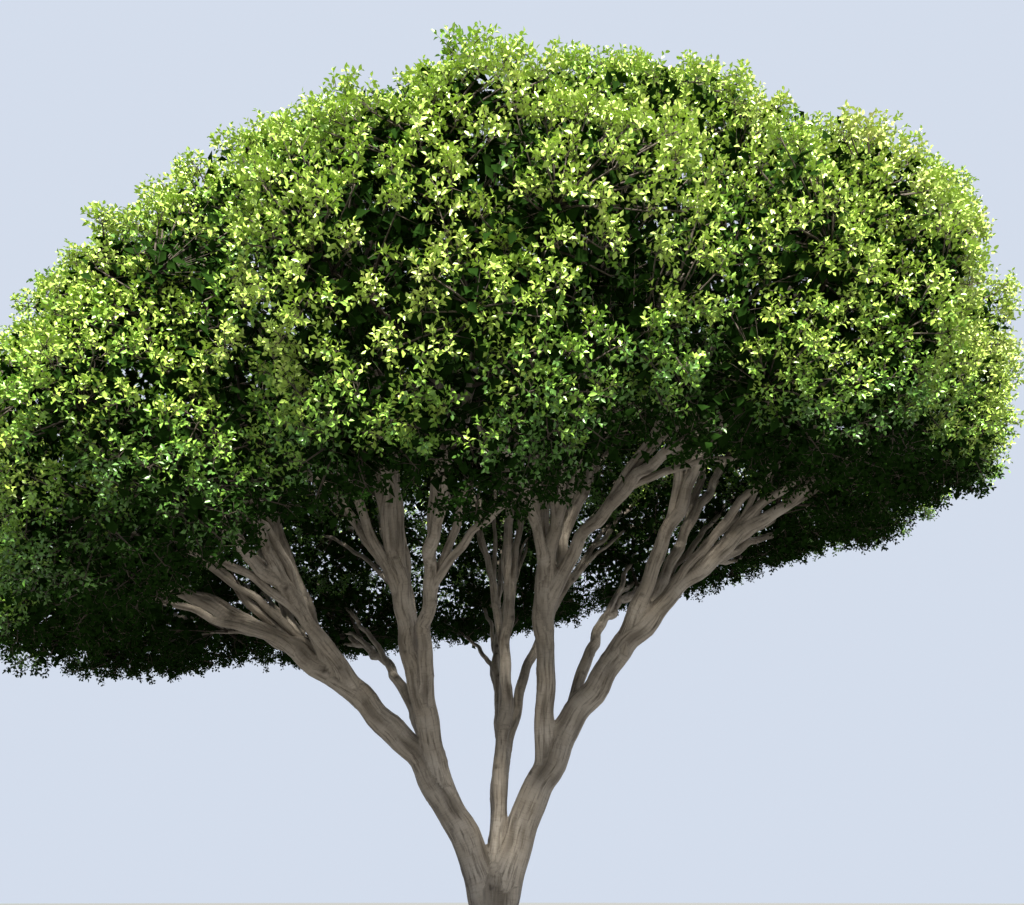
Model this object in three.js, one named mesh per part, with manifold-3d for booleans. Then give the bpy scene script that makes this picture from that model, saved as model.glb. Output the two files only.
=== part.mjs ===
// An Indian laurel fig tree: a short trunk, a vase of bare boughs and a wide domed crown.
// Millimetres. X runs to the right, Y to the back and Z up, from the flat cut at the ground.
import * as THREE from "three";
import { mergeVertices } from "three/addons/utils/BufferGeometryUtils.js";
import Module from "manifold-3d";

const wasm = await Module();
wasm.setup();

// What lies between two solids that touch.
const CLEARANCE = 0.3;

// The trunk, from its root flare to the crotch between the two great boughs.
const TRUNK = {
  height: 2330,
  footRadius: 660,
  waistHeight: 1450,
  waistRadius: 375,
  crotchHalfWidth: 600,
  crotchHalfDepth: 430,
  rootLobes: 7,
  lobeDepth: 0.1,
  flareFade: 3.2,
  crotchBend: 0.8,
  shoulderShare: 0.9,
};
const TRUNK_SIDES = 20;
const TRUNK_ROWS = 8;

// The crown is a dome that stands a little higher on the right, over an open vase.
// Its rim, the lower edge of the foliage, rises to the right and to the back.
const CROWN = {
  radius: 9300,
  rise: 5450,
  middleHeight: 8650,
  riseToRight: 0.14,
  rimHeight: 7000,
  rimRiseToRight: 0.19,
  rimRiseToBack: 0.2,
  hollowRadius: 6100,
  hollowFloor: 6000,
  hollowRise: 3900,
};

// Rings of foliage masses: how far out they lie, which way the first lies, and how high.
// A rim mass lies midway between the rim's edge and the height given here.
// There is one swell for each mass: how far it stands out of the dome, or keeps below it.
const RINGS = {
  rim: {
    out: 7350,
    firstHeading: 18,
    height: 9600,
    swells: [-100, -350, 0, -300, -150, -200, -200, 0, -200, -200],
  },
  shoulder: {
    out: 6100,
    firstHeading: 10,
    height: 11200,
    swells: [-300, -50, -350, -100, -300, -200, -400, -300, 200],
  },
  upper: { out: 3350, firstHeading: 45, height: 12250, swells: [-150, -300, -100, -250, -200, -350] },
  top: { out: 0, firstHeading: 0, height: 12400, swells: [-50] },
};

// Each bough leads to a mass: what it leaves, how far along that, and how thick it is at its foot.
// Aside is how far off the trunk's axis it starts, steep how strongly it sets off upright, and
// flattens how much it levels out on its way.
// Beside is how far it ends from the mass's centre: such a bough is a second one, which ends
// against the foliage.
const TIP_SHARE = 0.42;
const BOUGHS = [
  { to: "rim_6", leaves: "trunk", along: 0.62, aside: 90, steep: 1.6, flattens: 0.4, radius: 275 },
  { to: "rim_10", leaves: "trunk", along: 0.62, aside: 90, steep: 1.4, flattens: 0.4, radius: 275 },
  { to: "top_1", leaves: "trunk", along: 0.9, aside: 0, radius: 130 },
  { to: "rim_3", leaves: "trunk", along: 0.9, aside: 150, steep: 1, radius: 130 },
  { to: "shoulder_7", leaves: "rim_6", along: 0.18, radius: 200 },
  { to: "rim_8", leaves: "shoulder_7", along: 0.13, radius: 135 },
  { to: "shoulder_4", leaves: "shoulder_7", along: 0.12, radius: 110 },
  { to: "upper_3", leaves: "shoulder_4", along: 0.2, radius: 85 },
  { to: "upper_4", leaves: "shoulder_7", along: 0.27, radius: 110 },
  { to: "rim_4", leaves: "rim_6", along: 0.21, radius: 120 },
  { to: "rim_5", leaves: "rim_6", along: 0.36, radius: 115 },
  { to: "rim_7", leaves: "rim_6", along: 0.42, radius: 135 },
  { to: "shoulder_6", leaves: "rim_6", along: 0.48, radius: 125 },
  { to: "shoulder_5", leaves: "rim_6", along: 0.55, radius: 100 },
  { to: "shoulder_2", leaves: "top_1", along: 0.1, radius: 105 },
  { to: "upper_2", leaves: "top_1", along: 0.2, radius: 85 },
  { to: "shoulder_3", leaves: "rim_3", along: 0.25, radius: 95 },
  { to: "rim_2", leaves: "rim_10", along: 0.26, radius: 120 },
  { to: "upper_5", leaves: "rim_10", along: 0.19, radius: 175 },
  { to: "upper_6", leaves: "upper_5", along: 0.21, radius: 105 },
  { to: "shoulder_8", leaves: "upper_5", along: 0.24, radius: 130 },
  { to: "rim_9", leaves: "upper_5", along: 0.27, radius: 125 },
  { to: "upper_1", leaves: "upper_5", along: 0.12, radius: 85 },
  { to: "shoulder_9", leaves: "rim_10", along: 0.42, radius: 145 },
  { to: "rim_1", leaves: "rim_10", along: 0.36, radius: 140 },
  { to: "shoulder_1", leaves: "rim_1", along: 0.22, radius: 115 },
  { to: "rim_6", beside: 900, leaves: "rim_6", along: 0.6, radius: 90 },
  { to: "rim_7", beside: -900, leaves: "rim_7", along: 0.35, radius: 85 },
  { to: "rim_8", beside: 900, leaves: "upper_5", along: 0.3, radius: 95 },
  { to: "rim_10", beside: 900, leaves: "rim_10", along: 0.6, radius: 90 },
  { to: "rim_9", beside: -900, leaves: "rim_9", along: 0.35, radius: 85 },
  { to: "rim_1", beside: 900, leaves: "rim_1", along: 0.5, radius: 85 },
  { to: "shoulder_6", beside: 900, leaves: "shoulder_7", along: 0.33, radius: 90 },
];
const THICK_BOUGH = 110;
const BOUGH_STEPS = 6;

// A bough's line, as shares of its length: how far it holds its first and its last way, how much of
// its parent's way it keeps, and how far it sways sideways.
const LINE = { firstHold: 0.42, lastHold: 0.33, keeps: 0.5, sway: 0.05 };

// Foliage: a core that fills most of a mass, with a billow round each twig that stands out of it.
const CORE_SHARE = 0.95;
const CORE_ROUNDNESS = 12;
const MASS_GAP = 90;
const STEM = { outside: 300, lastShare: 0.97 };
const BILLOW = { depth: 0.12, reach: 0.2 };
const TWIGS_TRIED = 14;
const TWIG = { radius: 45, footShare: 0.85, outside: 130 };
const LEAVES_ON_A_TWIG = 2;
const LEAF = { length: 680, width: 360, thickness: 26, sunk: 60, standout: 350, splay: 1.4, apart: 40 };
const GOLDEN_ANGLE = Math.PI * (3 - Math.sqrt(5));

const bark = new THREE.MeshStandardMaterial({ color: "#9a8d7c", roughness: 0.85, metalness: 0 });
const foliage = new THREE.MeshStandardMaterial({ color: "#54782b", roughness: 0.6, metalness: 0 });

const UP = new THREE.Vector3(0, 0, 1);
const RIGHT = new THREE.Vector3(1, 0, 0);

// A number from 0 to 1 that depends only on two counts, so that the tree always grows the same.
function chance(first, second) {
  const wave = Math.sin(first * 127.1 + second * 311.7) * 43758.5453;
  return wave - Math.floor(wave);
}

function asSolid(geometry) {
  const bare = geometry.clone();
  bare.deleteAttribute("normal");
  bare.deleteAttribute("uv");
  const merged = mergeVertices(bare, 1e-3);
  const vertProperties = new Float32Array(merged.getAttribute("position").array);
  const triVerts = new Uint32Array(merged.index.array);
  return new wasm.Manifold(new wasm.Mesh({ numProp: 3, vertProperties, triVerts }));
}

function asGeometry(solid) {
  const mesh = solid.getMesh();
  const geometry = new THREE.BufferGeometry();
  geometry.setAttribute("position", new THREE.BufferAttribute(mesh.vertProperties, 3));
  geometry.setIndex(new THREE.BufferAttribute(mesh.triVerts, 1));
  return geometry.toNonIndexed();
}

function largestBody(solid) {
  const bodies = solid.decompose();
  return bodies.reduce((best, body) => (body.volume() > best.volume() ? body : best));
}

// Moves each vertex of a geometry to where the function puts it.
function reshape(geometry, place) {
  const position = geometry.getAttribute("position");
  const point = new THREE.Vector3();
  for (let i = 0; i < position.count; i += 1) {
    const moved = place(point.fromBufferAttribute(position, i));
    position.setXYZ(i, moved.x, moved.y, moved.z);
  }
  return geometry;
}

// The trunk's half width and half depth at a height, widest at the root flare and the crotch.
function trunkGirth(height) {
  const flare = Math.exp((-TRUNK.flareFade * height) / TRUNK.waistHeight);
  const below = TRUNK.waistRadius + (TRUNK.footRadius - TRUNK.waistRadius) * flare;
  const rise = Math.max(0, (height - TRUNK.waistHeight) / (TRUNK.height - TRUNK.waistHeight));
  const spread = rise ** TRUNK.crotchBend;
  return {
    halfWidth: below + (TRUNK.crotchHalfWidth - TRUNK.waistRadius) * spread,
    halfDepth: below + (TRUNK.crotchHalfDepth - TRUNK.waistRadius) * spread,
    lobes: TRUNK.lobeDepth * flare,
  };
}

function trunkSolid(extra) {
  const profile = [new THREE.Vector2(0, 0)];
  const shoulder = TRUNK.shoulderShare * TRUNK.height;
  for (let i = 0; i <= TRUNK_ROWS; i += 1) {
    profile.push(new THREE.Vector2(1, (shoulder * i) / TRUNK_ROWS));
  }
  profile.push(new THREE.Vector2(0.7, THREE.MathUtils.lerp(shoulder, TRUNK.height, 0.7)));
  profile.push(new THREE.Vector2(0, TRUNK.height));
  const geometry = reshape(new THREE.LatheGeometry(profile, TRUNK_SIDES), (point) => {
    const girth = trunkGirth(point.y);
    const heading = Math.atan2(point.z, point.x);
    const lobe = 1 + girth.lobes * Math.cos(TRUNK.rootLobes * heading);
    const x = point.x * (girth.halfWidth * lobe + extra);
    const y = -point.z * (girth.halfDepth * lobe + extra);
    return point.clone().set(x, y, point.y > 0 ? point.y + extra : 0);
  });
  return asSolid(geometry);
}

// Where the crown's dome, its hollow and its rim limit a ray, and the planes halfway to the neighbours.
function ellipsoidHits(from, way, radius, rise, height) {
  const squeeze = radius / rise;
  const level = (vector) => (vector.z - CROWN.riseToRight * vector.x) * squeeze;
  const a = way.x ** 2 + way.y ** 2 + level(way) ** 2;
  const lifted = level(from) - height * squeeze;
  const b = from.x * way.x + from.y * way.y + lifted * level(way);
  const c = from.x ** 2 + from.y ** 2 + lifted ** 2 - radius ** 2;
  const root = b * b - a * c;
  if (root < 0) return [];
  return [(-b - Math.sqrt(root)) / a, (-b + Math.sqrt(root)) / a];
}

function rimHeightAt(x, y) {
  return CROWN.rimHeight + CROWN.rimRiseToRight * x + CROWN.rimRiseToBack * y;
}

function massCentres() {
  const centres = new Map();
  for (const [ring, size] of Object.entries(RINGS)) {
    for (const i of size.swells.keys()) {
      const heading = THREE.MathUtils.degToRad(size.firstHeading + (360 * i) / size.swells.length);
      const x = size.out * Math.cos(heading);
      const y = size.out * Math.sin(heading);
      const height = size.height + CROWN.riseToRight * x;
      const z = ring === "rim" ? (rimHeightAt(x, y) + height) / 2 : height;
      centres.set(`${ring}_${i + 1}`, new THREE.Vector3(x, y, z));
    }
  }
  return centres;
}

const centres = massCentres();

function swellOf(name) {
  const [ring, number] = name.split("_");
  return RINGS[ring].swells[number - 1];
}

// The distances from a mass's centre at which a ray leaves the mass's own space.
// Leaves stand out of the dome by as much as the last value says.
function limits(name, way, standout = 0) {
  const from = centres.get(name);
  const found = [];
  const grown = standout + swellOf(name);
  const dome = ellipsoidHits(from, way, CROWN.radius + grown, CROWN.rise + grown, CROWN.middleHeight);
  found.push(Math.max(...dome));
  const hollow = ellipsoidHits(from, way, CROWN.hollowRadius, CROWN.hollowRise, CROWN.hollowFloor);
  found.push(...hollow.filter((distance) => distance > 0).slice(0, 1));
  const sinking = CROWN.rimRiseToRight * way.x + CROWN.rimRiseToBack * way.y - way.z;
  if (sinking > 0) found.push((from.z - rimHeightAt(from.x, from.y) + standout) / sinking);
  for (const [other, centre] of centres) {
    if (other === name) continue;
    const apart = centre.clone().sub(from);
    const toward = way.dot(apart) / apart.length();
    if (toward > 0) found.push((apart.length() / 2 - MASS_GAP / 2) / toward);
  }
  return found;
}

// The rounded reach of a mass's foliage along a ray: a soft least of its limits.
function reach(name, way) {
  const sum = limits(name, way).reduce((total, limit) => total + limit ** -CORE_ROUNDNESS, 0);
  return sum ** (-1 / CORE_ROUNDNESS);
}

function insideMass(name, point) {
  const offset = point.clone().sub(centres.get(name));
  return offset.length() < Math.min(...limits(name, offset.clone().normalize(), LEAF.standout));
}

// A bough's line: it leaves steeply, sways a little, flattens on the way out and ends in its mass.
function boughLine({ foot, leaving, end }, { steep = 0.6, flattens = 0.1 }, number) {
  const chord = end.clone().sub(foot);
  const length = chord.length();
  const way = chord.clone().normalize();
  const sideways = way.clone().cross(UP).addScaledVector(RIGHT, 0.2).normalize();
  sideways.multiplyScalar(LINE.sway * length);
  const setOff = way.clone().addScaledVector(leaving, LINE.keeps).addScaledVector(UP, steep).normalize();
  const arrive = way.clone().addScaledVector(UP, -flattens).normalize();
  const first = foot.clone().addScaledVector(setOff, LINE.firstHold * length);
  const second = end.clone().addScaledVector(arrive, -LINE.lastHold * length);
  first.addScaledVector(sideways, 2 * chance(number, 1) - 1);
  second.addScaledVector(sideways, 2 * chance(number, 2) - 1);
  return new THREE.CubicBezierCurve3(foot, first, second, end);
}

// A way that no bough runs in, from which the sections of the tubes are turned.
const SECTION_AXIS = new THREE.Vector3(0.13, 1, 0);

// A tapering tube between two shares of a line: a cylinder whose rows are set square to the line.
function tube(line, from, to, radiusAt, sides, steps, extra = 0) {
  const geometry = new THREE.CylinderGeometry(1, 1, 1, sides, steps);
  return asSolid(
    reshape(geometry, (point) => {
      const share = THREE.MathUtils.lerp(from, to, point.y + 0.5);
      const along = line.getTangent(share);
      const side = SECTION_AXIS.clone().cross(along).normalize();
      const front = along.clone().cross(side);
      const radius = radiusAt(share) + extra;
      return line
        .getPoint(share)
        .addScaledVector(side, point.x * radius)
        .addScaledVector(front, -point.z * radius);
    }),
  );
}

// Where a bough gives way to the stem of its mass: a little before the line enters the core.
// The search starts past the stretch that still hugs the parent, and goes on in small shares.
function entryShare(name, line) {
  const centre = centres.get(name);
  for (let share = 0.3; share < 1; share += 0.005) {
    const offset = line.getPoint(share).sub(centre);
    const core = CORE_SHARE * reach(name, offset.clone().normalize());
    if (offset.length() < core + STEM.outside) return share;
  }
  throw new Error(`the bough of ${name} never reaches it`);
}

const trunkLine = new THREE.LineCurve3(new THREE.Vector3(), new THREE.Vector3(0, 0, TRUNK.height));
const trunk = { line: trunkLine, solid: trunkSolid(0), swollen: trunkSolid(2 * CLEARANCE) };
const limbs = new Map([["trunk", trunk]]);

function sidesOf(radius) {
  return radius > THICK_BOUGH ? 8 : 6;
}

function growBough(bough, number) {
  const { to, beside = 0, leaves, along, aside = 0, radius } = bough;
  const parent = limbs.get(leaves);
  const outward = centres.get(to).clone().setZ(0).normalize();
  const foot = parent.line.getPoint(along).addScaledVector(outward, aside);
  const end = centres.get(to).clone().addScaledVector(outward.cross(UP), beside);
  const leaving = parent.line.getTangent(along);
  const line = boughLine({ foot, leaving, end }, bough, number);
  const radiusAt = (share) => radius * (1 - (1 - TIP_SHARE) * share);
  const lastShare = beside ? 1 : entryShare(to, line);
  const boughTube = (extra) => tube(line, 0, lastShare, radiusAt, sidesOf(radius), BOUGH_STEPS, extra);
  let solid = boughTube(0);
  for (const other of limbs.values()) solid = solid.subtract(other.swollen);
  if (beside) solid = solid.subtract(coreSolid(to, 2 * CLEARANCE));
  const name = beside ? `${to}_${beside > 0 ? "left" : "right"}_side` : to;
  const swollen = boughTube(2 * CLEARANCE);
  limbs.set(name, { line, solid: largestBody(solid), swollen, lastShare, radiusAt });
}

const group = new THREE.Group();

function addNode(name, solid, material) {
  const mesh = new THREE.Mesh(asGeometry(solid), material);
  mesh.name = name;
  group.add(mesh);
}

// The ways from a mass's centre in which its twigs grow, spread evenly by a golden spiral.
function twigWays(name) {
  const turned = 2 * Math.PI * chance([...centres.keys()].indexOf(name), 3);
  return Array.from({ length: TWIGS_TRIED }, (_, i) => {
    const height = 1 - (2 * i + 1) / TWIGS_TRIED;
    const heading = i * GOLDEN_ANGLE + turned;
    const level = Math.sqrt(1 - height * height);
    return new THREE.Vector3(level * Math.cos(heading), level * Math.sin(heading), height);
  });
}

// How far the core's skin lies from its centre: billows round the twigs, with creases between them.
function skin(name, way) {
  const nearest = Math.max(...twigWays(name).map((twig) => twig.dot(way)));
  const crease = Math.min(1, (1 - nearest) / BILLOW.reach);
  return CORE_SHARE * reach(name, way) * (1 - BILLOW.depth * crease);
}

function coreSolid(name, extra = 0) {
  const centre = centres.get(name);
  const geometry = reshape(new THREE.IcosahedronGeometry(1, 2), (point) => {
    const way = point.clone().normalize();
    return centre.clone().addScaledVector(way, skin(name, way) + extra);
  });
  return asSolid(geometry);
}

BOUGHS.forEach(growBough);
for (const [name, limb] of limbs) {
  addNode(name === "trunk" ? name : `${name}_bough`, limb.solid, bark);
}

// A leaf is an octahedron drawn out into a blade, from its root along its axis.
function leafSolid(root, axis, flat) {
  const side = axis.clone().cross(flat).normalize();
  const normal = side.clone().cross(axis).normalize();
  const middle = root.clone().addScaledVector(axis, LEAF.length / 2 - LEAF.sunk);
  const geometry = reshape(new THREE.OctahedronGeometry(1), (point) =>
    middle
      .clone()
      .addScaledVector(axis, (point.y * LEAF.length) / 2)
      .addScaledVector(side, (point.x * LEAF.width) / 2)
      .addScaledVector(normal, (point.z * LEAF.thickness) / 2),
  );
  return { solid: asSolid(geometry), corners: cornersOf(geometry) };
}

function cornersOf(geometry) {
  const position = geometry.getAttribute("position");
  return Array.from({ length: position.count }, (_, i) =>
    new THREE.Vector3().fromBufferAttribute(position, i),
  );
}

// A twig is a three-sided cone.
function twigSolid(foot, tip) {
  const along = tip.clone().sub(foot);
  const length = along.length();
  const cone = new THREE.ConeGeometry(TWIG.radius, length, 3).translate(0, length / 2, 0);
  const turn = new THREE.Quaternion().setFromUnitVectors(THREE.Object3D.DEFAULT_UP, along.normalize());
  return asSolid(cone.applyQuaternion(turn).translate(foot.x, foot.y, foot.z));
}

function clearOfLimbs(solid) {
  return [...limbs.values()].every((limb) => solid.intersect(limb.swollen).isEmpty());
}

// The mass that a bough carries: a stem that runs into the core, then twigs and their leaves.
function massSolid(name) {
  const centre = centres.get(name);
  const number = [...centres.keys()].indexOf(name);
  const { line, lastShare, radiusAt } = limbs.get(name);
  const stemStart = lastShare + CLEARANCE / line.getLength();
  const stem = tube(line, stemStart, STEM.lastShare, radiusAt, sidesOf(radiusAt(0)), 2);
  let solid = stem.add(coreSolid(name));
  twigWays(name).forEach((way, i) => {
    const surface = skin(name, way);
    const foot = centre.clone().addScaledVector(way, TWIG.footShare * surface);
    const tip = centre.clone().addScaledVector(way, surface + TWIG.outside);
    const twig = twigSolid(foot, tip);
    if (!insideMass(name, tip) || !clearOfLimbs(twig)) return;
    solid = solid.add(twig);
    const turned = 2 * Math.PI * chance(number, 10 + i);
    for (let j = 0; j < LEAVES_ON_A_TWIG; j += 1) {
      const turn = turned + (2 * Math.PI * j) / LEAVES_ON_A_TWIG;
      const side = UP.clone().cross(way).normalize().applyAxisAngle(way, turn);
      const axis = way.clone().addScaledVector(side, LEAF.splay).normalize();
      const leaf = leafSolid(tip.clone().addScaledVector(way, -LEAF.apart * j), axis, way);
      const fits = leaf.corners.every((corner) => insideMass(name, corner));
      if (fits && clearOfLimbs(leaf.solid)) solid = solid.add(leaf.solid);
    }
  });
  return largestBody(solid);
}

for (const name of centres.keys()) {
  addNode(`${name}_foliage`, massSolid(name), foliage);
}

export default group;
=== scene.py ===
import math

import bpy
import numpy as np
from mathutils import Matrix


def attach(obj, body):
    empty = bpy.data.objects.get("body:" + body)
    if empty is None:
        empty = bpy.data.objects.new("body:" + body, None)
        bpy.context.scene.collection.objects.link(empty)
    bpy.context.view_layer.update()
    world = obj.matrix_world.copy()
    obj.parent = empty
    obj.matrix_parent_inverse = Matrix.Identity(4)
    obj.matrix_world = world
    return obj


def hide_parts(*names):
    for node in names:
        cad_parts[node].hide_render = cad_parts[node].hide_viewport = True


# An Indian laurel fig tree: a short fluted trunk, a vase of bare limbs and a broad domed crown.
# Metres. X runs to the right, Y to the back and Z up, from the flat cut at the ground.

bl_info = {
    "name": "Laurel Fig Tree",
    "version": (1, 0, 0),
    "blender": (4, 5, 0),
    "location": "3D Viewport > Sidebar > Fig Tree",
    "description": "Grows the bark, branches, twigs and leaves of a street tree on its solids",
    "category": "Add Mesh",
}

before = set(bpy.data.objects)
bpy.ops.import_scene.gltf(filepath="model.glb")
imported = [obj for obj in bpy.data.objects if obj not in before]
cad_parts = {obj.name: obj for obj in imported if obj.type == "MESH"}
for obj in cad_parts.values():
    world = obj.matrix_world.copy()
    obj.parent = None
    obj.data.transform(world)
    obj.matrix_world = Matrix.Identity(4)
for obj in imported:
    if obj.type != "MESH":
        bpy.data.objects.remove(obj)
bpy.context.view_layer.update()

# The tree's driving sizes, as in its solids.
TRUNK = {
    "height": 2.33,
    "foot_radius": 0.66,
    "waist_height": 1.45,
    "waist_radius": 0.375,
    "crotch_half_width": 0.6,
    "crotch_half_depth": 0.43,
    "root_lobes": 7,
    "lobe_depth": 0.1,
    "flare_fade": 3.2,
    "crotch_bend": 0.8,
}
CROWN = {
    "radius": 9.3,
    "rise": 5.45,
    "middle_height": 8.65,
    "rise_to_right": 0.14,
    "rim_height": 7.0,
    "rim_rise_to_right": 0.19,
    "rim_rise_to_back": 0.2,
    "hollow_radius": 6.1,
    "hollow_floor": 6.0,
    "hollow_rise": 3.9,
}
# Rings of foliage masses: how far out they lie, which way the first lies, and how high.
# There is one swell for each mass: how far it stands out of the dome, or keeps below it.
RINGS = {
    "rim": (7.35, 18, 9.6, [-0.1, -0.35, 0, -0.3, -0.15, -0.2, -0.2, 0, -0.2, -0.2]),
    "shoulder": (6.1, 10, 11.2, [-0.3, -0.05, -0.35, -0.1, -0.3, -0.2, -0.4, -0.3, 0.2]),
    "upper": (3.35, 45, 12.25, [-0.15, -0.3, -0.1, -0.25, -0.2, -0.35]),
    "top": (0, 0, 12.4, [-0.05]),
}
# Each bough: the mass it leads to, what it leaves, how far along that, and its radius at the foot.
# Then what sets some apart: how far off the trunk's axis it starts, how steeply it sets off, how
# much it levels out on its way, and how far beside the middle of its mass it ends.
GREAT = {"aside": 0.09, "flattens": 0.4}
BOUGHS = [
    ("rim_6", "trunk", 0.62, 0.275, {**GREAT, "steep": 1.6}),
    ("rim_10", "trunk", 0.62, 0.275, {**GREAT, "steep": 1.4}),
    ("top_1", "trunk", 0.9, 0.13, {}),
    ("rim_3", "trunk", 0.9, 0.13, {"aside": 0.15, "steep": 1}),
    ("shoulder_7", "rim_6", 0.18, 0.2, {}),
    ("rim_8", "shoulder_7", 0.13, 0.135, {}),
    ("shoulder_4", "shoulder_7", 0.12, 0.11, {}),
    ("upper_3", "shoulder_4", 0.2, 0.085, {}),
    ("upper_4", "shoulder_7", 0.27, 0.11, {}),
    ("rim_4", "rim_6", 0.21, 0.12, {}),
    ("rim_5", "rim_6", 0.36, 0.115, {}),
    ("rim_7", "rim_6", 0.42, 0.135, {}),
    ("shoulder_6", "rim_6", 0.48, 0.125, {}),
    ("shoulder_5", "rim_6", 0.55, 0.1, {}),
    ("shoulder_2", "top_1", 0.1, 0.105, {}),
    ("upper_2", "top_1", 0.2, 0.085, {}),
    ("shoulder_3", "rim_3", 0.25, 0.095, {}),
    ("rim_2", "rim_10", 0.26, 0.12, {}),
    ("upper_5", "rim_10", 0.19, 0.175, {}),
    ("upper_6", "upper_5", 0.21, 0.105, {}),
    ("shoulder_8", "upper_5", 0.24, 0.13, {}),
    ("rim_9", "upper_5", 0.27, 0.125, {}),
    ("upper_1", "upper_5", 0.12, 0.085, {}),
    ("shoulder_9", "rim_10", 0.42, 0.145, {}),
    ("rim_1", "rim_10", 0.36, 0.14, {}),
    ("shoulder_1", "rim_1", 0.22, 0.115, {}),
    ("rim_6", "rim_6", 0.6, 0.09, {"beside": 0.9}),
    ("rim_7", "rim_7", 0.35, 0.085, {"beside": -0.9}),
    ("rim_8", "upper_5", 0.3, 0.095, {"beside": 0.9}),
    ("rim_10", "rim_10", 0.6, 0.09, {"beside": 0.9}),
    ("rim_9", "rim_9", 0.35, 0.085, {"beside": -0.9}),
    ("rim_1", "rim_1", 0.5, 0.085, {"beside": 0.9}),
    ("shoulder_6", "shoulder_7", 0.33, 0.09, {"beside": 0.9}),
]
TIP_SHARE = 0.42
LINE = {"first_hold": 0.42, "last_hold": 0.33, "keeps": 0.5, "sway": 0.05}
CORE_SHARE = 0.95
CORE_ROUNDNESS = 12
MASS_GAP = 0.09
TWIGS_TRIED = 14
TWIG_FOOT_SHARE = 0.77
BILLOW = {"depth": 0.12, "reach": 0.2}
GOLDEN_ANGLE = math.pi * (3 - math.sqrt(5))
UP = np.array([0.0, 0.0, 1.0])
RIGHT = np.array([1.0, 0.0, 0.0])

# How far leaves stand out of the dome at most.
STANDOUT = 0.4

# One branch in every so many of a mass is a side limb, which leaves its bough in the open.
SIDE_LIMB = {"every": 5, "from": 0.3, "to": 0.85, "radius": 0.095, "share": 0.68}

# How far the trunk runs on above its waist, closing like an egg between the great boughs.
CROTCH_CAP = 0.72

# The numbers that seed the flutes and knots of the trunk, and of the first branch. The boughs
# count from nought.
TRUNK_NUMBER = 90
FIRST_BRANCH = 200

# The bark's surface: points this near the ground keep their height, and no point moves further
# than this in one step.
SOLE_HEIGHT = 0.04
LONGEST_MOVE = 0.06

# The floor's radius, and how wide the lights look, which softens their shadows.
FLOOR_RADIUS = 300
LIGHT_WIDTH = math.radians(5)

# The photo's frame, and where its lens looks straight ahead, in its own pixels.
PHOTO_WIDTH = 1024
PHOTO_HEIGHT = 905
FOCAL_PIXELS = 900
STRAIGHT_AHEAD_ROW = 600
SENSOR_WIDTH_MM = 36


def linear(code):
    """An sRGB hex colour as linear red, green and blue."""
    shares = [int(code[i : i + 2], 16) / 255 for i in (1, 3, 5)]
    return tuple(s / 12.92 if s <= 0.04045 else ((s + 0.055) / 1.055) ** 2.4 for s in shares)


def colour(name, code, description):
    """A colour setting, from its sRGB hex code."""
    return bpy.props.FloatVectorProperty(
        name=name, description=description, subtype="COLOR", size=3, min=0, max=1,
        default=linear(code),
    )


def length(name, metres, description):
    """A length setting, in metres."""
    return bpy.props.FloatProperty(
        name=name, description=description, unit="LENGTH", min=0, default=metres
    )


class LimbSettings(bpy.types.PropertyGroup):
    """The sizes and colours of the bark."""

    grain: length("Surface step", 0.041, "Edge of the squares that the bark's surface is made of")
    fillet: length("Crotch fillet", 0.045, "How softly one limb flows into the next")
    flute_share: bpy.props.FloatProperty(
        name="Flutes", description="Depth of the long flutes, as a share of the limb's radius",
        subtype="FACTOR", min=0, max=0.2, default=0.05,
    )
    pale: colour("Pale bark", "#a39a8e", "Weathered, sunlit bark")
    # The dark colour makes the darker streaks and also the painted shade in the flutes.
    dark: colour("Dark bark", "#51483d", "Bark in the flutes and under the crotches")
    scar: colour("Scars", "#3f372f", "Knots and old branch scars")


class LeafSettings(bpy.types.PropertyGroup):
    """The sizes of tufts, sprays and leaves."""

    tuft_spacing: length("Tuft spacing", 0.355, "Least distance between two tufts of sprays")
    spray_length: length("Spray length", 0.25, "From the foot of a spray to its tip")
    leaf_length: length("Leaf length", 0.08, "Length of a grown leaf, as in life")
    leaf_width: length("Leaf width", 0.052, "Width of a grown leaf")
    shade_length: length("Shade leaf length", 0.2, "Length of the leaves inside the crown")
    shade_width: length("Shade leaf width", 0.14, "Width of the leaves inside the crown")
    shade_leaves: bpy.props.IntProperty(
        name="Shade leaves", description="Leaves on each twig inside the crown", min=1, default=4
    )


class TintSettings(bpy.types.PropertyGroup):
    """The plain greens of the leaves, from the darkest to the freshest."""

    # The Shade tint is near black: painted shade for the leaves deep in the crown and the most
    # shaded sprays.
    tint_0: colour("Shade", "#1c3110", "Leaves deep inside the crown")
    tint_1: colour("Deep", "#4f762f", "Old leaves on the shaded side")
    tint_2: colour("Grown", "#7ca33f", "Grown leaves")
    tint_3: colour("Mid", "#9eba50", "Grown leaves in the sun")
    tint_4: colour("Fresh", "#a9c25c", "This year's leaves")
    tint_5: colour("Young", "#b7c66c", "Young leaves at the tips")
    tint_6: colour("New", "#c6c97c", "New leaves, still yellow")


class StudioSettings(bpy.types.PropertyGroup):
    """Where the camera stands, the lights and the floor."""

    camera_back: length("Camera distance", 16.0, "From the trunk's middle to the lens, along Y")
    camera_right: length("Camera to the right", 0.3, "From the trunk's middle to the lens, along X")
    camera_height: length("Camera height", 1.6, "Of the lens above the ground")
    camera_tilt: bpy.props.FloatProperty(
        name="Camera tilt", description="Upward tilt of the lens",
        subtype="ANGLE", unit="ROTATION", default=math.radians(18.3),
    )
    key_power: bpy.props.FloatProperty(
        name="Key light", description="Strength of the high key light", min=0, default=15.5
    )
    fill_power: bpy.props.FloatProperty(
        name="Fill light", description="Strength of the light from all round", min=0, default=0.84
    )
    back_power: bpy.props.FloatProperty(
        name="Back light", description="Strength of the weak light from behind", min=0, default=2.2
    )
    floor: colour("Floor", "#5e5e5e", "The pale floor, in full light")


# The rule by which the tree grows, the same as for its solids.


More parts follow.
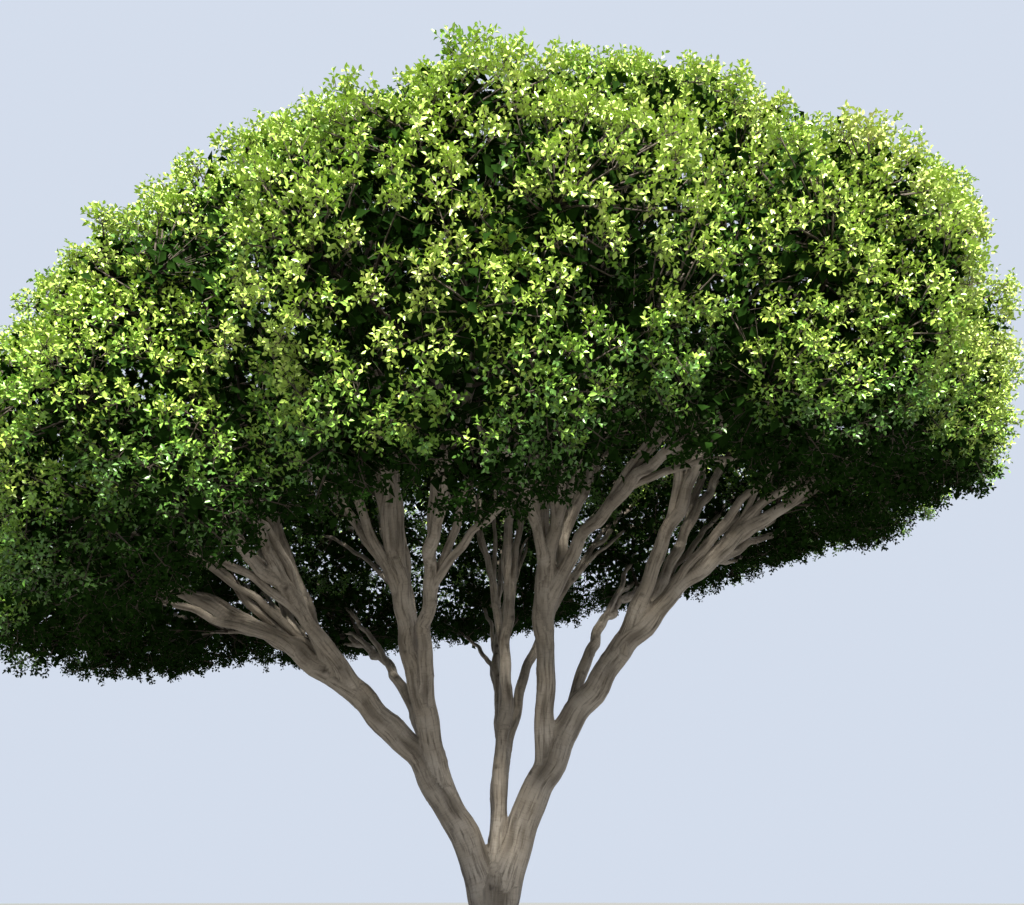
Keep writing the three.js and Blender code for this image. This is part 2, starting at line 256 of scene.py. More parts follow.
def chance(first, second):
    """A number from 0 to 1 that depends only on two counts. It also takes arrays."""
    wave = np.sin(first * 127.1 + second * 311.7) * 43758.5453
    return wave - np.floor(wave)


def unit(vectors):
    """Vectors of the same way and of length 1."""
    size = np.linalg.norm(vectors, axis=-1, keepdims=True)
    return vectors / np.where(size > 1e-9, size, 1)


def rim_height_at(point):
    """The height of the crown's lower edge above points: it rises to the right and the back."""
    return (
        CROWN["rim_height"]
        + CROWN["rim_rise_to_right"] * point[..., 0]
        + CROWN["rim_rise_to_back"] * point[..., 1]
    )


def mass_centres():
    """The middle of each mass of foliage, ring by ring."""
    centres = {}
    for ring, (out, first, height, swells) in RINGS.items():
        for i in range(len(swells)):
            heading = math.radians(first + 360 * i / len(swells))
            x, y = out * math.cos(heading), out * math.sin(heading)
            z = height + CROWN["rise_to_right"] * x
            if ring == "rim":
                z = (rim_height_at(np.array([x, y])) + z) / 2
            centres[f"{ring}_{i + 1}"] = np.array([x, y, z])
    return centres


CENTRES = mass_centres()
MASSES = list(CENTRES)
SWELLS = dict(zip(MASSES, [swell for ring in RINGS.values() for swell in ring[3]]))


def ellipsoid_hits(origin, ways, radius, rise, height):
    """Where rays enter and leave the sheared ellipsoid of the crown. A miss is not a number."""
    squeeze = radius / rise

    def level(vectors):
        return (vectors[..., 2] - CROWN["rise_to_right"] * vectors[..., 0]) * squeeze

    lifted = level(origin) - height * squeeze
    a = ways[:, 0] ** 2 + ways[:, 1] ** 2 + level(ways) ** 2
    b = origin[0] * ways[:, 0] + origin[1] * ways[:, 1] + lifted * level(ways)
    c = origin[0] ** 2 + origin[1] ** 2 + lifted**2 - radius**2
    with np.errstate(invalid="ignore"):
        root = np.sqrt(b * b - a * c)
    return (-b - root) / a, (-b + root) / a


def outer_limits(name, ways, standout=0.0):
    """How far rays from a mass's centre run to the dome, the hollow and the rim."""
    origin = CENTRES[name]
    grown = standout + SWELLS[name]
    radius, rise = CROWN["radius"] + grown, CROWN["rise"] + grown
    dome = ellipsoid_hits(origin, ways, radius, rise, CROWN["middle_height"])[1]
    near, far = ellipsoid_hits(
        origin, ways, CROWN["hollow_radius"], CROWN["hollow_rise"], CROWN["hollow_floor"]
    )
    hollow = np.where(near > 0, near, np.where(far > 0, far, np.inf))
    sinking = (
        CROWN["rim_rise_to_right"] * ways[:, 0]
        + CROWN["rim_rise_to_back"] * ways[:, 1]
        - ways[:, 2]
    )
    drop = origin[2] - rim_height_at(origin) + standout
    rim = np.where(sinking > 0, drop / np.where(sinking > 0, sinking, 1), np.inf)
    return dome, hollow, rim


def neighbour_limits(name, ways):
    """How far rays from a mass's centre run to the planes halfway to the other masses."""
    rows = []
    for other in MASSES:
        if other == name:
            continue
        apart = CENTRES[other] - CENTRES[name]
        distance = np.linalg.norm(apart)
        toward = ways @ apart / distance
        gap = distance / 2 - MASS_GAP / 2
        rows.append(np.where(toward > 0, gap / np.where(toward > 0, toward, 1), np.inf))
    return np.array(rows)


def reach(name, ways):
    """The rounded reach of a mass's foliage along rays: a soft least of its limits."""
    limits = np.vstack([*outer_limits(name, ways), neighbour_limits(name, ways)])
    return np.sum(limits**-CORE_ROUNDNESS, axis=0) ** (-1 / CORE_ROUNDNESS)


def golden_ways(count, turned):
    """Ways spread evenly over the sphere by a golden spiral."""
    i = np.arange(count)
    height = 1 - (2 * i + 1) / count
    heading = i * GOLDEN_ANGLE + turned
    level = np.sqrt(1 - height**2)
    return np.stack([level * np.cos(heading), level * np.sin(heading), height], axis=-1)


def twig_ways(name):
    """The ways from a mass's middle to its billows."""
    return golden_ways(TWIGS_TRIED, 2 * math.pi * chance(MASSES.index(name), 3))


def skin(name, ways):
    """How far the skin of a mass lies from its centre: billows with creases between them."""
    nearest = np.max(ways @ twig_ways(name).T, axis=1)
    crease = np.minimum(1, (1 - nearest) / BILLOW["reach"])
    return CORE_SHARE * reach(name, ways) * (1 - BILLOW["depth"] * crease)


def bough_line(foot, leaving, end, number, steep=0.6, flattens=0.1):
    """The four points of a bough's line: steep at first, swaying a little, then flatter."""
    chord = end - foot
    span = np.linalg.norm(chord)
    way = chord / span
    sideways = unit(np.cross(way, UP) + 0.2 * RIGHT) * LINE["sway"] * span
    set_off = unit(way + LINE["keeps"] * leaving + steep * UP)
    arrive = unit(way - flattens * UP)
    first = foot + set_off * LINE["first_hold"] * span + sideways * (2 * chance(number, 1) - 1)
    second = end - arrive * LINE["last_hold"] * span + sideways * (2 * chance(number, 2) - 1)
    return np.array([foot, first, second, end])


def on_line(line, shares):
    """Points at shares of a curve with four control points."""
    s = np.asarray(shares, dtype=float)[..., None]
    a, b, c, d = line
    return (1 - s) ** 3 * a + 3 * (1 - s) ** 2 * s * b + 3 * (1 - s) * s**2 * c + s**3 * d


def line_way(line, shares):
    """The ways that a curve with four control points runs at shares of it."""
    s = np.asarray(shares, dtype=float)[..., None]
    a, b, c, d = line
    return unit((1 - s) ** 2 * (b - a) + 2 * (1 - s) * s * (c - b) + s**2 * (d - c))


def entry_share(name, line, outside):
    """Where a line first comes within a distance of the skin of a mass."""
    shares = np.arange(0.3, 1, 0.005)
    offsets = on_line(line, shares) - CENTRES[name]
    away = np.linalg.norm(offsets, axis=1) - CORE_SHARE * reach(name, unit(offsets))
    found = np.flatnonzero(away < outside)
    return shares[found[0]] if len(found) else 1.0


def grow_limbs():
    """Every bough: its line, its radius at the foot, and where it enters its mass's leaves."""
    limbs = {}
    trunk_line = np.array([UP * TRUNK["height"] * i / 3 for i in range(4)])
    lines = {"trunk": trunk_line}
    for number, (to, leaves, along, radius, extras) in enumerate(BOUGHS):
        shape = {"aside": 0, "beside": 0, **extras}
        aside, beside = shape.pop("aside"), shape.pop("beside")
        outward = unit(CENTRES[to] * [1, 1, 0])
        foot = on_line(lines[leaves], along) + outward * aside
        target = CENTRES[to] + np.cross(outward, UP) * beside
        line = bough_line(foot, line_way(lines[leaves], along), target, number, **shape)
        name = to
        if beside:
            name = f"{to}_left_side" if beside > 0 else f"{to}_right_side"
        lines[name] = line
        limbs[name] = {
            "line": line,
            "radius": radius,
            "mass": to,
            "number": number,
            "entry": entry_share(to, line, 0.0),
            "bark_end": entry_share(to, line, -0.3),
        }
    return limbs


LIMBS = grow_limbs()


def limb_radius(limb, shares):
    """The radius along a limb. The great boughs thin out faster above their forks."""
    shares = np.asarray(shares)
    great = np.clip((limb["radius"] - 0.1) / 0.17, 0, 1)
    late = np.clip((shares - 0.3) / 0.45, 0, 1)
    thinning = 1 - 0.34 * great * late * late * (3 - 2 * late)
    return limb["radius"] * (1 - (1 - TIP_SHARE) * shares) * thinning


# Meshes from arrays.


def mesh_object(name, points, face_sets, tints=None):
    """An object whose faces come in sets of equal size, with a material number for each face."""
    mesh = bpy.data.meshes.new(name)
    mesh.vertices.add(len(points))
    mesh.vertices.foreach_set("co", np.asarray(points, dtype=np.float32).ravel())
    corners = np.concatenate([np.asarray(f).ravel() for f in face_sets])
    sizes = np.concatenate([np.full(len(f), f.shape[1]) for f in face_sets])
    mesh.loops.add(len(corners))
    mesh.loops.foreach_set("vertex_index", corners.astype(np.int32))
    mesh.polygons.add(len(sizes))
    starts = np.concatenate([[0], np.cumsum(sizes)[:-1]])
    mesh.polygons.foreach_set("loop_start", starts.astype(np.int32))
    if tints is not None:
        mesh.polygons.foreach_set("material_index", np.asarray(tints, dtype=np.int32))
    mesh.update(calc_edges=True)
    mesh.validate()
    obj = bpy.data.objects.new(name, mesh)
    bpy.context.scene.collection.objects.link(obj)
    return obj


def tubes(rows, radii, sides, first_point=0):
    """Closed tubes, one for each line of points: their points, their sides and their ends."""
    count, steps = rows.shape[:2]
    ways = unit(np.gradient(rows, axis=1))
    middle = np.abs(unit(rows[:, -1] - rows[:, 0]))
    helper = np.eye(3)[np.argmin(middle, axis=1)][:, None, :]
    across = unit(np.cross(helper, ways))
    other = np.cross(ways, across)
    turn = 2 * np.pi * np.arange(sides) / sides
    ring = across[:, :, None] * np.cos(turn)[:, None] + other[:, :, None] * np.sin(turn)[:, None]
    points = rows[:, :, None] + ring * radii[:, :, None, None]
    index = np.arange(count * steps * sides).reshape(count, steps, sides) + first_point
    following = np.roll(index, -1, axis=2)
    walls = np.stack(
        [index[:, :-1], following[:, :-1], following[:, 1:], index[:, 1:]], axis=-1
    ).reshape(-1, 4)
    ends = np.concatenate([index[:, 0, ::-1], index[:, -1]])
    return points.reshape(-1, 3), walls, ends


def joined_tubes(name, rows, radii, sides):
    """One smooth object of many tubes."""
    points, walls, ends = tubes(rows, radii, sides)
    obj = mesh_object(name, points, [walls, ends])
    obj.data.polygons.foreach_set("use_smooth", np.ones(len(obj.data.polygons), dtype=bool))
    return obj


# Materials.


def fresh_material(name):
    """A material with no nodes yet."""
    material = bpy.data.materials.new(name)
    material.use_nodes = True
    material.node_tree.nodes.clear()
    return material


def add_node(tree, kind, settings=None, **links):
    """A node with its settings, and links or values for its inputs, named with underscores."""
    node = tree.nodes.new(kind)
    for key, value in (settings or {}).items():
        setattr(node, key, value)
    for key, value in links.items():
        socket = node.inputs[int(key[1:])] if key[0] == "i" and key[1:].isdigit() else node.inputs[
            key.replace("_", " ")
        ]
        if isinstance(value, bpy.types.NodeSocket):
            tree.links.new(value, socket)
        else:
            socket.default_value = value
    return node


def add_ramp(tree, factor, stops):
    """A colour ramp with its stops, from a factor."""
    node = add_node(tree, "ShaderNodeValToRGB", Fac=factor)
    ramp = node.color_ramp
    while len(ramp.elements) < len(stops):
        ramp.elements.new(0.5)
    for element, (place, value) in zip(ramp.elements, stops):
        element.position = place
        element.color = (*value, 1) if isinstance(value, tuple) else (value, value, value, 1)
    return node.outputs["Color"]


def finish_material(tree, **sockets):
    """The shader of a material and its output."""
    shader = add_node(tree, "ShaderNodeBsdfPrincipled", **sockets)
    add_node(tree, "ShaderNodeOutputMaterial", Surface=shader.outputs["BSDF"])


def fig_bark():
    """Smooth fig bark, weathered outdoors: matt and pale grey-brown, with painted shade in its long
    flutes.

    Fine rings run round the limbs and knots stay as dark scars. The grain attribute holds how
    far a point lies across and along its limb, so that streaks and rings follow every bend.
    """
    if "weathered_fig_bark" in bpy.data.materials:
        return bpy.data.materials["weathered_fig_bark"]
    settings = bpy.context.scene.fig_limbs
    material = fresh_material("weathered_fig_bark")
    tree = material.node_tree
    grain = add_node(tree, "ShaderNodeAttribute", {"attribute_name": "grain"}).outputs["Vector"]
    hollow = add_node(tree, "ShaderNodeAttribute", {"attribute_name": "hollow"}).outputs["Fac"]
    scar = add_node(tree, "ShaderNodeAttribute", {"attribute_name": "scar"}).outputs["Fac"]

    # Streaks 40 mm wide and ten times as long.
    along = add_node(tree, "ShaderNodeMapping", Vector=grain, Scale=(25, 25, 2.5))
    streaks = add_node(
        tree, "ShaderNodeTexNoise",
        Vector=along.outputs["Vector"], Scale=1.0, Detail=6.0, Roughness=0.6,
    ).outputs["Fac"]
    # Patches of weathering about 500 mm across.
    patches = add_node(
        tree, "ShaderNodeTexNoise", Vector=grain, Scale=2.0, Detail=4.0, Roughness=0.55
    ).outputs["Fac"]
    # Growth rings on the bark, 25 mm apart, broken up by the patches.
    across = add_node(tree, "ShaderNodeMapping", Vector=grain, Scale=(6, 6, 40))
    rings = add_node(
        tree, "ShaderNodeTexNoise",
        Vector=across.outputs["Vector"], Scale=1.0, Detail=3.0, Roughness=0.5,
    ).outputs["Fac"]
    # Pores, 8 mm, which a close view shows.
    pores = add_node(
        tree, "ShaderNodeTexNoise", Vector=grain, Scale=120.0, Detail=2.0, Roughness=0.6
    ).outputs["Fac"]

    pale, dark, deep = tuple(settings.pale), tuple(settings.dark), tuple(settings.scar)
    palest = tuple(c * 1.12 for c in pale)
    streaked = add_ramp(tree, streaks, [(0.28, dark), (0.5, pale), (0.75, palest)])
    weather = add_ramp(tree, patches, [(0.35, 0.0), (0.7, 1.0)])
    mixed = add_node(
        tree, "ShaderNodeMix", {"data_type": "RGBA", "blend_type": "MULTIPLY"},
        i0=weather, i6=streaked, i7=(0.72, 0.69, 0.64, 1),
    ).outputs[2]
    ringed = add_node(
        tree, "ShaderNodeMix", {"data_type": "RGBA", "blend_type": "MULTIPLY"},
        i0=add_ramp(tree, rings, [(0.34, 0.35), (0.46, 0.0)]), i6=mixed, i7=(0.6, 0.57, 0.53, 1),
    ).outputs[2]
    # Painted shade: the bark darkens towards the dark colour in its flutes.
    shaded = add_node(
        tree, "ShaderNodeMix", {"data_type": "RGBA"}, i0=hollow, i6=ringed, i7=(*dark, 1)
    ).outputs[2]
    scarred = add_node(
        tree, "ShaderNodeMix", {"data_type": "RGBA"}, i0=scar, i6=shaded, i7=(*deep, 1)
    ).outputs[2]

    height = add_node(
        tree, "ShaderNodeMath", {"operation": "ADD"}, i0=streaks, i1=rings
    ).outputs[0]
    height = add_node(
        tree, "ShaderNodeMath", {"operation": "MULTIPLY_ADD"}, i0=pores, i1=0.35, i2=height
    ).outputs[0]
    bump = add_node(tree, "ShaderNodeBump", Height=height, Strength=0.8, Distance=0.012)
    finish_material(
        tree, Base_Color=scarred, Normal=bump.outputs["Normal"], Roughness=0.82, IOR=1.45,
    )
    return material


def young_bark(name):
    """The bark of thin branches: grey-brown, matt, with slight blotches 60 mm across."""
    if name in bpy.data.materials:
        return bpy.data.materials[name]
    settings = bpy.context.scene.fig_limbs
    dark, pale = tuple(settings.scar), tuple(settings.dark)
    material = fresh_material(name)
    tree = material.node_tree
    place = add_node(tree, "ShaderNodeTexCoord").outputs["Object"]
    blotches = add_node(
        tree, "ShaderNodeTexNoise", Vector=place, Scale=16.0, Detail=4.0, Roughness=0.6
    ).outputs["Fac"]
    tone = add_ramp(tree, blotches, [(0.35, dark), (0.7, pale)])
    bump = add_node(tree, "ShaderNodeBump", Height=blotches, Strength=0.5, Distance=0.006)
    finish_material(
        tree, Base_Color=tone, Normal=bump.outputs["Normal"], Roughness=0.8, IOR=1.45
    )
    return material


def fig_leaf(number):
    """A fig leaf's waxy cuticle, smooth and evenly glossy over a plain green; the near-black shade
    tint is painted shade, matt and dusty.

    Each tint is one plain colour, because a leaf is only a few pixels wide.
    """
    tints = bpy.context.scene.fig_tints
    name = f"waxy_fig_leaf_{number}"
    if name in bpy.data.materials:
        return bpy.data.materials[name]
    material = fresh_material(name)
    green = (*getattr(tints, f"tint_{number}"), 1)
    gloss, shine = (0.9, 0.0) if number == 0 else (0.34, 0.5)
    finish_material(
        material.node_tree, Base_Color=green, Roughness=gloss, IOR=1.48, Specular_IOR_Level=shine
    )
    return material


def matt_floor():
    """Matt painted floor."""
    material = fresh_material("matt_floor_paint")
    shade = (*bpy.context.scene.fig_studio.floor, 1)
    finish_material(material.node_tree, Base_Color=shade, Roughness=0.9, IOR=1.45)
    return material


def dress(obj, slot, *nodes):
    """The piece rides with the tree and stands for its nodes. Its slot is not used."""
    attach(obj, "root")
    if nodes:
        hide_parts(*nodes)


# The bark of the trunk and limbs.


def trunk_girth(height):
    """The trunk's half width, half depth and depth of lobes at heights."""
    flare = np.exp(-TRUNK["flare_fade"] * height / TRUNK["waist_height"])
    below = TRUNK["waist_radius"] + (TRUNK["foot_radius"] - TRUNK["waist_radius"]) * flare
    above = TRUNK["height"] - TRUNK["waist_height"]
    spread = np.maximum(0, (height - TRUNK["waist_height"]) / above) ** TRUNK["crotch_bend"]
    half_width = below + (TRUNK["crotch_half_width"] - TRUNK["waist_radius"]) * spread
    half_depth = below + (TRUNK["crotch_half_depth"] - TRUNK["waist_radius"]) * spread
    return half_width, half_depth, TRUNK["lobe_depth"] * flare


def wobble(limb, shares):
    """Small bends that a limb makes on its way, from nothing at its foot."""
    line = limb["line"]
    span = np.linalg.norm(line[3] - line[0])
    way = unit(line[3] - line[0])
    across = unit(np.cross(way, UP) + 0.2 * RIGHT)
    other = np.cross(way, across)
    along = shares * span
    growth = np.minimum(1, shares / 0.2) * 0.2 * min(0.2, limb["radius"] + 0.06)
    offset = np.zeros((len(shares), 3))
    for k, (wave, side) in enumerate([(1.9, across), (1.5, other), (0.8, across), (0.7, other)]):
        phase = 2 * math.pi * chance(limb["number"], 20 + k)
        size = 1.0 if wave > 1 else 0.45
        offset += (growth * size * np.sin(2 * math.pi * along / wave + phase))[:, None] * side
    return offset


def limb_line(limb, shares):
    """Points at shares of a limb, and how far along it each lies from the first."""
    rows = on_line(limb["line"], shares) + wobble(limb, shares)
    lengths = np.linalg.norm(np.diff(rows, axis=0), axis=1)
    return rows, np.concatenate([[0], np.cumsum(lengths)])


def limb_rows(limb, end, step):
    """Points along a limb, an even step apart, with how far along each lies and its share."""
    span = np.linalg.norm(limb["line"][3] - limb["line"][0]) * end
    shares = np.linspace(0, end, max(4, int(span / step) + 2))
    return *limb_line(limb, shares), shares


def flutes(number, heading, along, radius):
    """Long flutes round a limb, which wander as they rise: shares of its radius."""
    depth = bpy.context.scene.fig_limbs.flute_share
    total = np.zeros_like(heading)
    for k, (count, size) in enumerate([(2, 0.8), (3, 1.0), (5, 0.8), (8, 0.45)]):
        phase = 2 * math.pi * chance(number, 40 + k)
        wander = 1.3 * np.sin(along * (0.9 + 0.3 * k) + phase * 3) + 0.35 * along
        swell = 0.6 + 0.4 * np.sin(along * (1.7 + 0.4 * k) + phase * 5)
        total += size * swell * np.cos(count * heading + phase + wander)
    swelling = 0.7 * np.sin(2 * math.pi * along / (0.7 + 2 * radius) + 6 * chance(number, 50))
    return depth * (total + swelling)


def knots(number, heading, along, radius, span):
    """Old branch scars on a limb: how high they stand, in metres, and how dark they are."""
    count = int(span * 1.3)
    height = np.zeros_like(heading)
    dark = np.zeros_like(heading)
    for k in range(count):
        place = span * (k + chance(number, 60 + k)) / max(1, count)
        facing = 2 * math.pi * chance(number, 80 + k)
        size = (0.035 + 0.04 * chance(number, 100 + k)) * (1 if k % 3 else 1.5)
        turn = np.angle(np.exp(1j * (heading - facing)))
        away = np.hypot(along - place, radius * turn) / size
        height += size * (0.34 * np.exp(-(away**2)) - 0.45 * np.exp(-((away / 0.45) ** 2)))
        dark = np.maximum(dark, np.exp(-((away / 0.55) ** 2)))
    return height, dark


def limb_skin(points, limb, rows, along, shares):
    """For points near a limb: how far they lie from its skin, which way is out, its grain."""
    start, step = rows[:-1], np.diff(rows, axis=0)
    size = np.sum(step**2, axis=1)
    offset = points[:, None] - start[None]
    part = np.clip(np.einsum("nij,ij->ni", offset, step) / size, 0, 1)
    away = offset - part[..., None] * step[None]
    distance = np.linalg.norm(away, axis=2)
    radii = limb_radius(limb, shares)
    local = radii[:-1] + part * np.diff(radii)
    best = np.argmin(distance - local, axis=1)
    pick = np.arange(len(points)), best
    away, distance, local, part = away[pick], distance[pick], local[pick], part[pick]
    ways = unit(step)[best]
    across = unit(np.cross(np.array([0.13, 1.0, 0.0]), ways))
    other = np.cross(ways, across)
    heading = np.arctan2(np.sum(away * other, axis=1), np.sum(away * across, axis=1))
    length_here = along[best] + part * np.diff(along)[best]
    relief = flutes(limb["number"], heading, length_here, local)
    knot, dark = knots(limb["number"], heading, length_here, local, along[-1])
    skin_radius = local * (1 + relief) + np.minimum(1, local / 0.1) * knot
    grain = np.stack([local * np.cos(heading), local * np.sin(heading), length_here], axis=1)
    return distance - skin_radius, unit(away), grain, relief, dark


def trunk_skin(points):
    """For points near the trunk: how far they lie from its skin, which way is out, its grain."""
    height = np.clip(points[:, 2], 0, TRUNK["height"])
    half_width, half_depth, lobes = trunk_girth(height)
    x, y = points[:, 0] / half_width, points[:, 1] / half_depth
    closing = np.maximum(0, points[:, 2] - TRUNK["waist_height"]) / CROTCH_CAP
    heading = np.arctan2(y, x)
    lobed = 1 + 2 * lobes * np.cos(TRUNK["root_lobes"] * heading) - lobes
    relief = flutes(TRUNK_NUMBER, heading, height, 0.5) * 1.2
    # Folds that run up the trunk and part towards the two great boughs.
    folds = 0.035 * np.cos(11 * heading + 1.5 * np.sin(2 * height)) * np.cos(heading) ** 2
    knot, dark = knots(TRUNK_NUMBER, heading, height, 0.45, 2.0)
    least = np.minimum(half_width, half_depth)
    round_out = np.sqrt(x**2 + y**2 + closing**2)
    side = (round_out - lobed - relief - folds) * least - 0.6 * knot
    out = unit(np.stack([x / half_width, y / half_depth, closing / CROTCH_CAP], axis=1))
    return side, out, points.copy(), relief + folds, dark


def bark_surface(points, prepared, fillet):
    """The soft union of the trunk and limbs: distance, way out, grain, hollows and scars."""
    least = np.full(len(points), 9.0)
    total = np.zeros(len(points))
    out = np.zeros((len(points), 3))
    grain = np.zeros((len(points), 3))
    hollow = np.zeros(len(points))
    scar = np.zeros(len(points))
    for low, high, measure in prepared:
        near = np.flatnonzero(np.all((points > low) & (points < high), axis=1))
        if not len(near):
            continue
        distance, way, own_grain, relief, dark = measure(points[near])
        weight = np.exp(np.clip(-distance / fillet, -30, 30))
        total[near] += weight
        out[near] += way * weight[:, None]
        closest = distance < least[near]
        chosen = near[closest]
        least[chosen] = distance[closest]
        grain[chosen] = own_grain[closest]
        hollow[chosen] = relief[closest]
        scar[chosen] = dark[closest]
    distance = np.where(total > 0, -fillet * np.log(np.maximum(total, 1e-12)), least)
    return distance, unit(out), grain, hollow, scar


def prepared_limbs():
    """Each limb's box of influence and the function that measures points against it."""
    half = TRUNK["foot_radius"] + 0.4
    prepared = [(np.array([-half, -half, -1]), np.array([half, half, 2.9]), trunk_skin)]
    for limb in LIMBS.values():
        rows, along, shares = limb_rows(limb, limb["bark_end"], 0.15)
        margin = limb["radius"] + 0.3

        def measure(points, limb=limb, rows=rows, along=along, shares=shares):
            return limb_skin(points, limb, rows, along, shares)

        prepared.append((rows.min(axis=0) - margin, rows.max(axis=0) + margin, measure))
    return prepared


def rough_wood():
    """Closed tubes for the trunk and limbs, which overlap where they meet."""
    heights = np.linspace(0, TRUNK["waist_height"] + 0.97 * CROTCH_CAP, 40)
    half_width, half_depth, lobes = trunk_girth(heights)
    heading = 2 * np.pi * np.arange(56) / 56
    closing = np.maximum(0, heights - TRUNK["waist_height"]) / CROTCH_CAP
    lobed = 1 + lobes[:, None] * np.cos(TRUNK["root_lobes"] * heading)
    lobed *= np.sqrt(1 - closing**2)[:, None]
    x = half_width[:, None] * lobed * np.cos(heading)
    y = half_depth[:, None] * lobed * np.sin(heading)
    points = np.stack([x, y, np.broadcast_to(heights[:, None], x.shape)], axis=-1).reshape(-1, 3)
    index = np.arange(len(points)).reshape(x.shape)
    following = np.roll(index, -1, axis=1)
    walls = np.stack([index[:-1], following[:-1], following[1:], index[1:]], axis=-1)
    points, faces = [points], [walls.reshape(-1, 4), index[:1, ::-1], index[-1:]]
    total = len(points[0])
    for limb in LIMBS.values():
        rows, _, shares = limb_rows(limb, limb["bark_end"], 0.12)
        radii = limb_radius(limb, shares)
        more, sides, ends = tubes(rows[None], radii[None], 16, total)
        points.append(more)
        faces += [sides, ends]
        total += len(more)
    return mesh_object("rough_wood", np.concatenate(points), faces)


def grow_attributes(mesh, grain, hollow, scar):
    """The attributes that the bark's material reads, with smooth faces and the material itself."""
    for name, kind, key, values in [
        ("grain", "FLOAT_VECTOR", "vector", grain),
        # The hollow attribute is painted shade, deeper where the flutes sink in.
        ("hollow", "FLOAT", "value", np.clip(-hollow * 9 - 0.1, 0, 0.75)),
        ("scar", "FLOAT", "value", np.clip(scar, 0, 0.9)),
    ]:
        layer = mesh.attributes.new(name, kind, "POINT")
        layer.data.foreach_set(key, np.ascontiguousarray(values, dtype=np.float32).ravel())
    mesh.polygons.foreach_set("use_smooth", np.ones(len(mesh.polygons), dtype=bool))
    mesh.update()
    mesh.materials.append(fig_bark())


class FIG_OT_bark(bpy.types.Operator):
    """Grow the trunk and the limbs as one skin of bark with flutes and knots"""

    bl_idname = "fig.bark"
    bl_label = "Grow trunk and limbs"

    def execute(self, context):
        settings = context.scene.fig_limbs
        rough = rough_wood()
        remesh = rough.modifiers.new("skin", "REMESH")
        remesh.mode = "VOXEL"
        remesh.voxel_size = settings.grain
        evaluated = rough.evaluated_get(context.evaluated_depsgraph_get())
        mesh = bpy.data.meshes.new_from_object(evaluated)
        bpy.data.objects.remove(rough)
        obj = bpy.data.objects.new("trunk_and_limbs", mesh)
        context.scene.collection.objects.link(obj)

        points = np.empty(len(mesh.vertices) * 3, dtype=np.float32)
        mesh.vertices.foreach_get("co", points)
        points = points.reshape(-1, 3).astype(float)
        normals = np.empty(len(mesh.vertices) * 3, dtype=np.float32)
        mesh.vertices.foreach_get("normal", normals)
        normals = normals.reshape(-1, 3)
        underside = (points[:, 2] < SOLE_HEIGHT) & (normals[:, 2] < -0.5)
        prepared = prepared_limbs()
        for _ in range(3):
            distance, out, grain, hollow, scar = bark_surface(points, prepared, settings.fillet)
            # A point keeps to its own side of the wood: it moves only along the way out.
            move = -np.clip(distance, -LONGEST_MOVE, LONGEST_MOVE)[:, None] * out
            move[underside] = 0
            move[points[:, 2] < SOLE_HEIGHT, 2] = 0
            points += move
        points[underside, 2] = 0
        points[:, 2] = np.maximum(points[:, 2], 0)
        mesh.vertices.foreach_set("co", points.astype(np.float32).ravel())
        mesh.materials.clear()
        grow_attributes(mesh, grain, hollow, scar)
        boughs = [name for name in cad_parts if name.endswith("_bough")]
        dress(obj, "bark", "trunk", *boughs)
        return {"FINISHED"}


# Branches inside the crown, and where the tufts of leaves grow.


def billow_branches():
    """Branches from the boughs of each mass to its billows, by the rule of the boughs."""
    grown = {}
    for mass_number, name in enumerate(MASSES):
        feet, leaving, thick, early = [], [], [], []
        for limb in LIMBS.values():
            if limb["mass"] != name:
                continue
            shares = np.linspace(SIDE_LIMB["from"] * limb["entry"], 0.95, 60)
            early.append(shares < SIDE_LIMB["to"] * limb["entry"])
            feet.append(on_line(limb["line"], shares) + wobble(limb, shares))
            leaving.append(line_way(limb["line"], shares))
            thick.append(limb_radius(limb, shares))
        feet, leaving, thick, early = map(np.concatenate, (feet, leaving, thick, early))
        ways = twig_ways(name)
        tips = CENTRES[name] + ways * (TWIG_FOOT_SHARE * skin(name, ways))[:, None]
        branches = []
        for i, tip in enumerate(tips):
            offset = tip - feet
            span = np.linalg.norm(offset, axis=1)
            turning = 1 - np.sum(leaving * offset, axis=1) / span
            number = FIRST_BRANCH + mass_number * TWIGS_TRIED + i
            # Some set off well before the mass, so that limbs part in the open.
            side_limb = i % SIDE_LIMB["every"] == 0
            if side_limb:
                luck = chance(np.arange(len(feet)), number)
                cost = np.where(early, turning + 0.25 * luck, np.inf)
                least, share = SIDE_LIMB["radius"], SIDE_LIMB["share"]
            else:
                cost = np.where(early, np.inf, span * (1 + 1.6 * turning))
                least, share = 0.05, 0.7
            best = int(np.argmin(cost))
            steep = 0.3 if side_limb else 0.15
            line = bough_line(feet[best], leaving[best], tip, number, steep=steep)
            branches.append((line, min(least, share * thick[best]), side_limb, number))
        grown[name] = branches
    return grown


def soft_noise(points, wavelength, seed):
    """Smooth noise about from -1 to 1: a few waves that run in different ways."""
    total = np.zeros(len(points))
    ways = golden_ways(9, 2 * math.pi * chance(seed, 7))
    for k, way in enumerate(ways):
        size = wavelength * (0.7 + 0.6 * chance(seed, 11 + k))
        total += np.sin(points @ way * 2 * math.pi / size + 2 * math.pi * chance(seed, 31 + k))
    return total / 3


# How many plain greens there are, from the darkest to the freshest.
TINTS = 7
# Where a tuft grows decides how near others stand, its shoots, the leaves on each of them and how
# large they are, the twigs under it, and how many tints of painted shade it takes.
DOME, RIM, HOLLOW, CREASE, GAP = 0, 1, 2, 3, 4
SPACING = np.array([1.0, 1.05, 1.25, 1.0, 1.1])
SHOOTS = np.array([4, 3, 2, 3, 2])
LEAVES = np.array([6, 6, 5, 5, 5])
LEAF_GROWTH = np.array([1.0, 1.05, 1.5, 1.1, 1.15])
SHADE_TWIGS = np.array([2, 2, 2, 3, 2])
PAINTED_SHADE_TINTS = np.array([0, 2.7, 3.2, 1.1, 1.8])
# How many places for a tuft are tried on each mass.
PLACES_TRIED = 4200
# How wide the shoots of a tuft fan out.
SHOOT_SPREAD = math.radians(78)
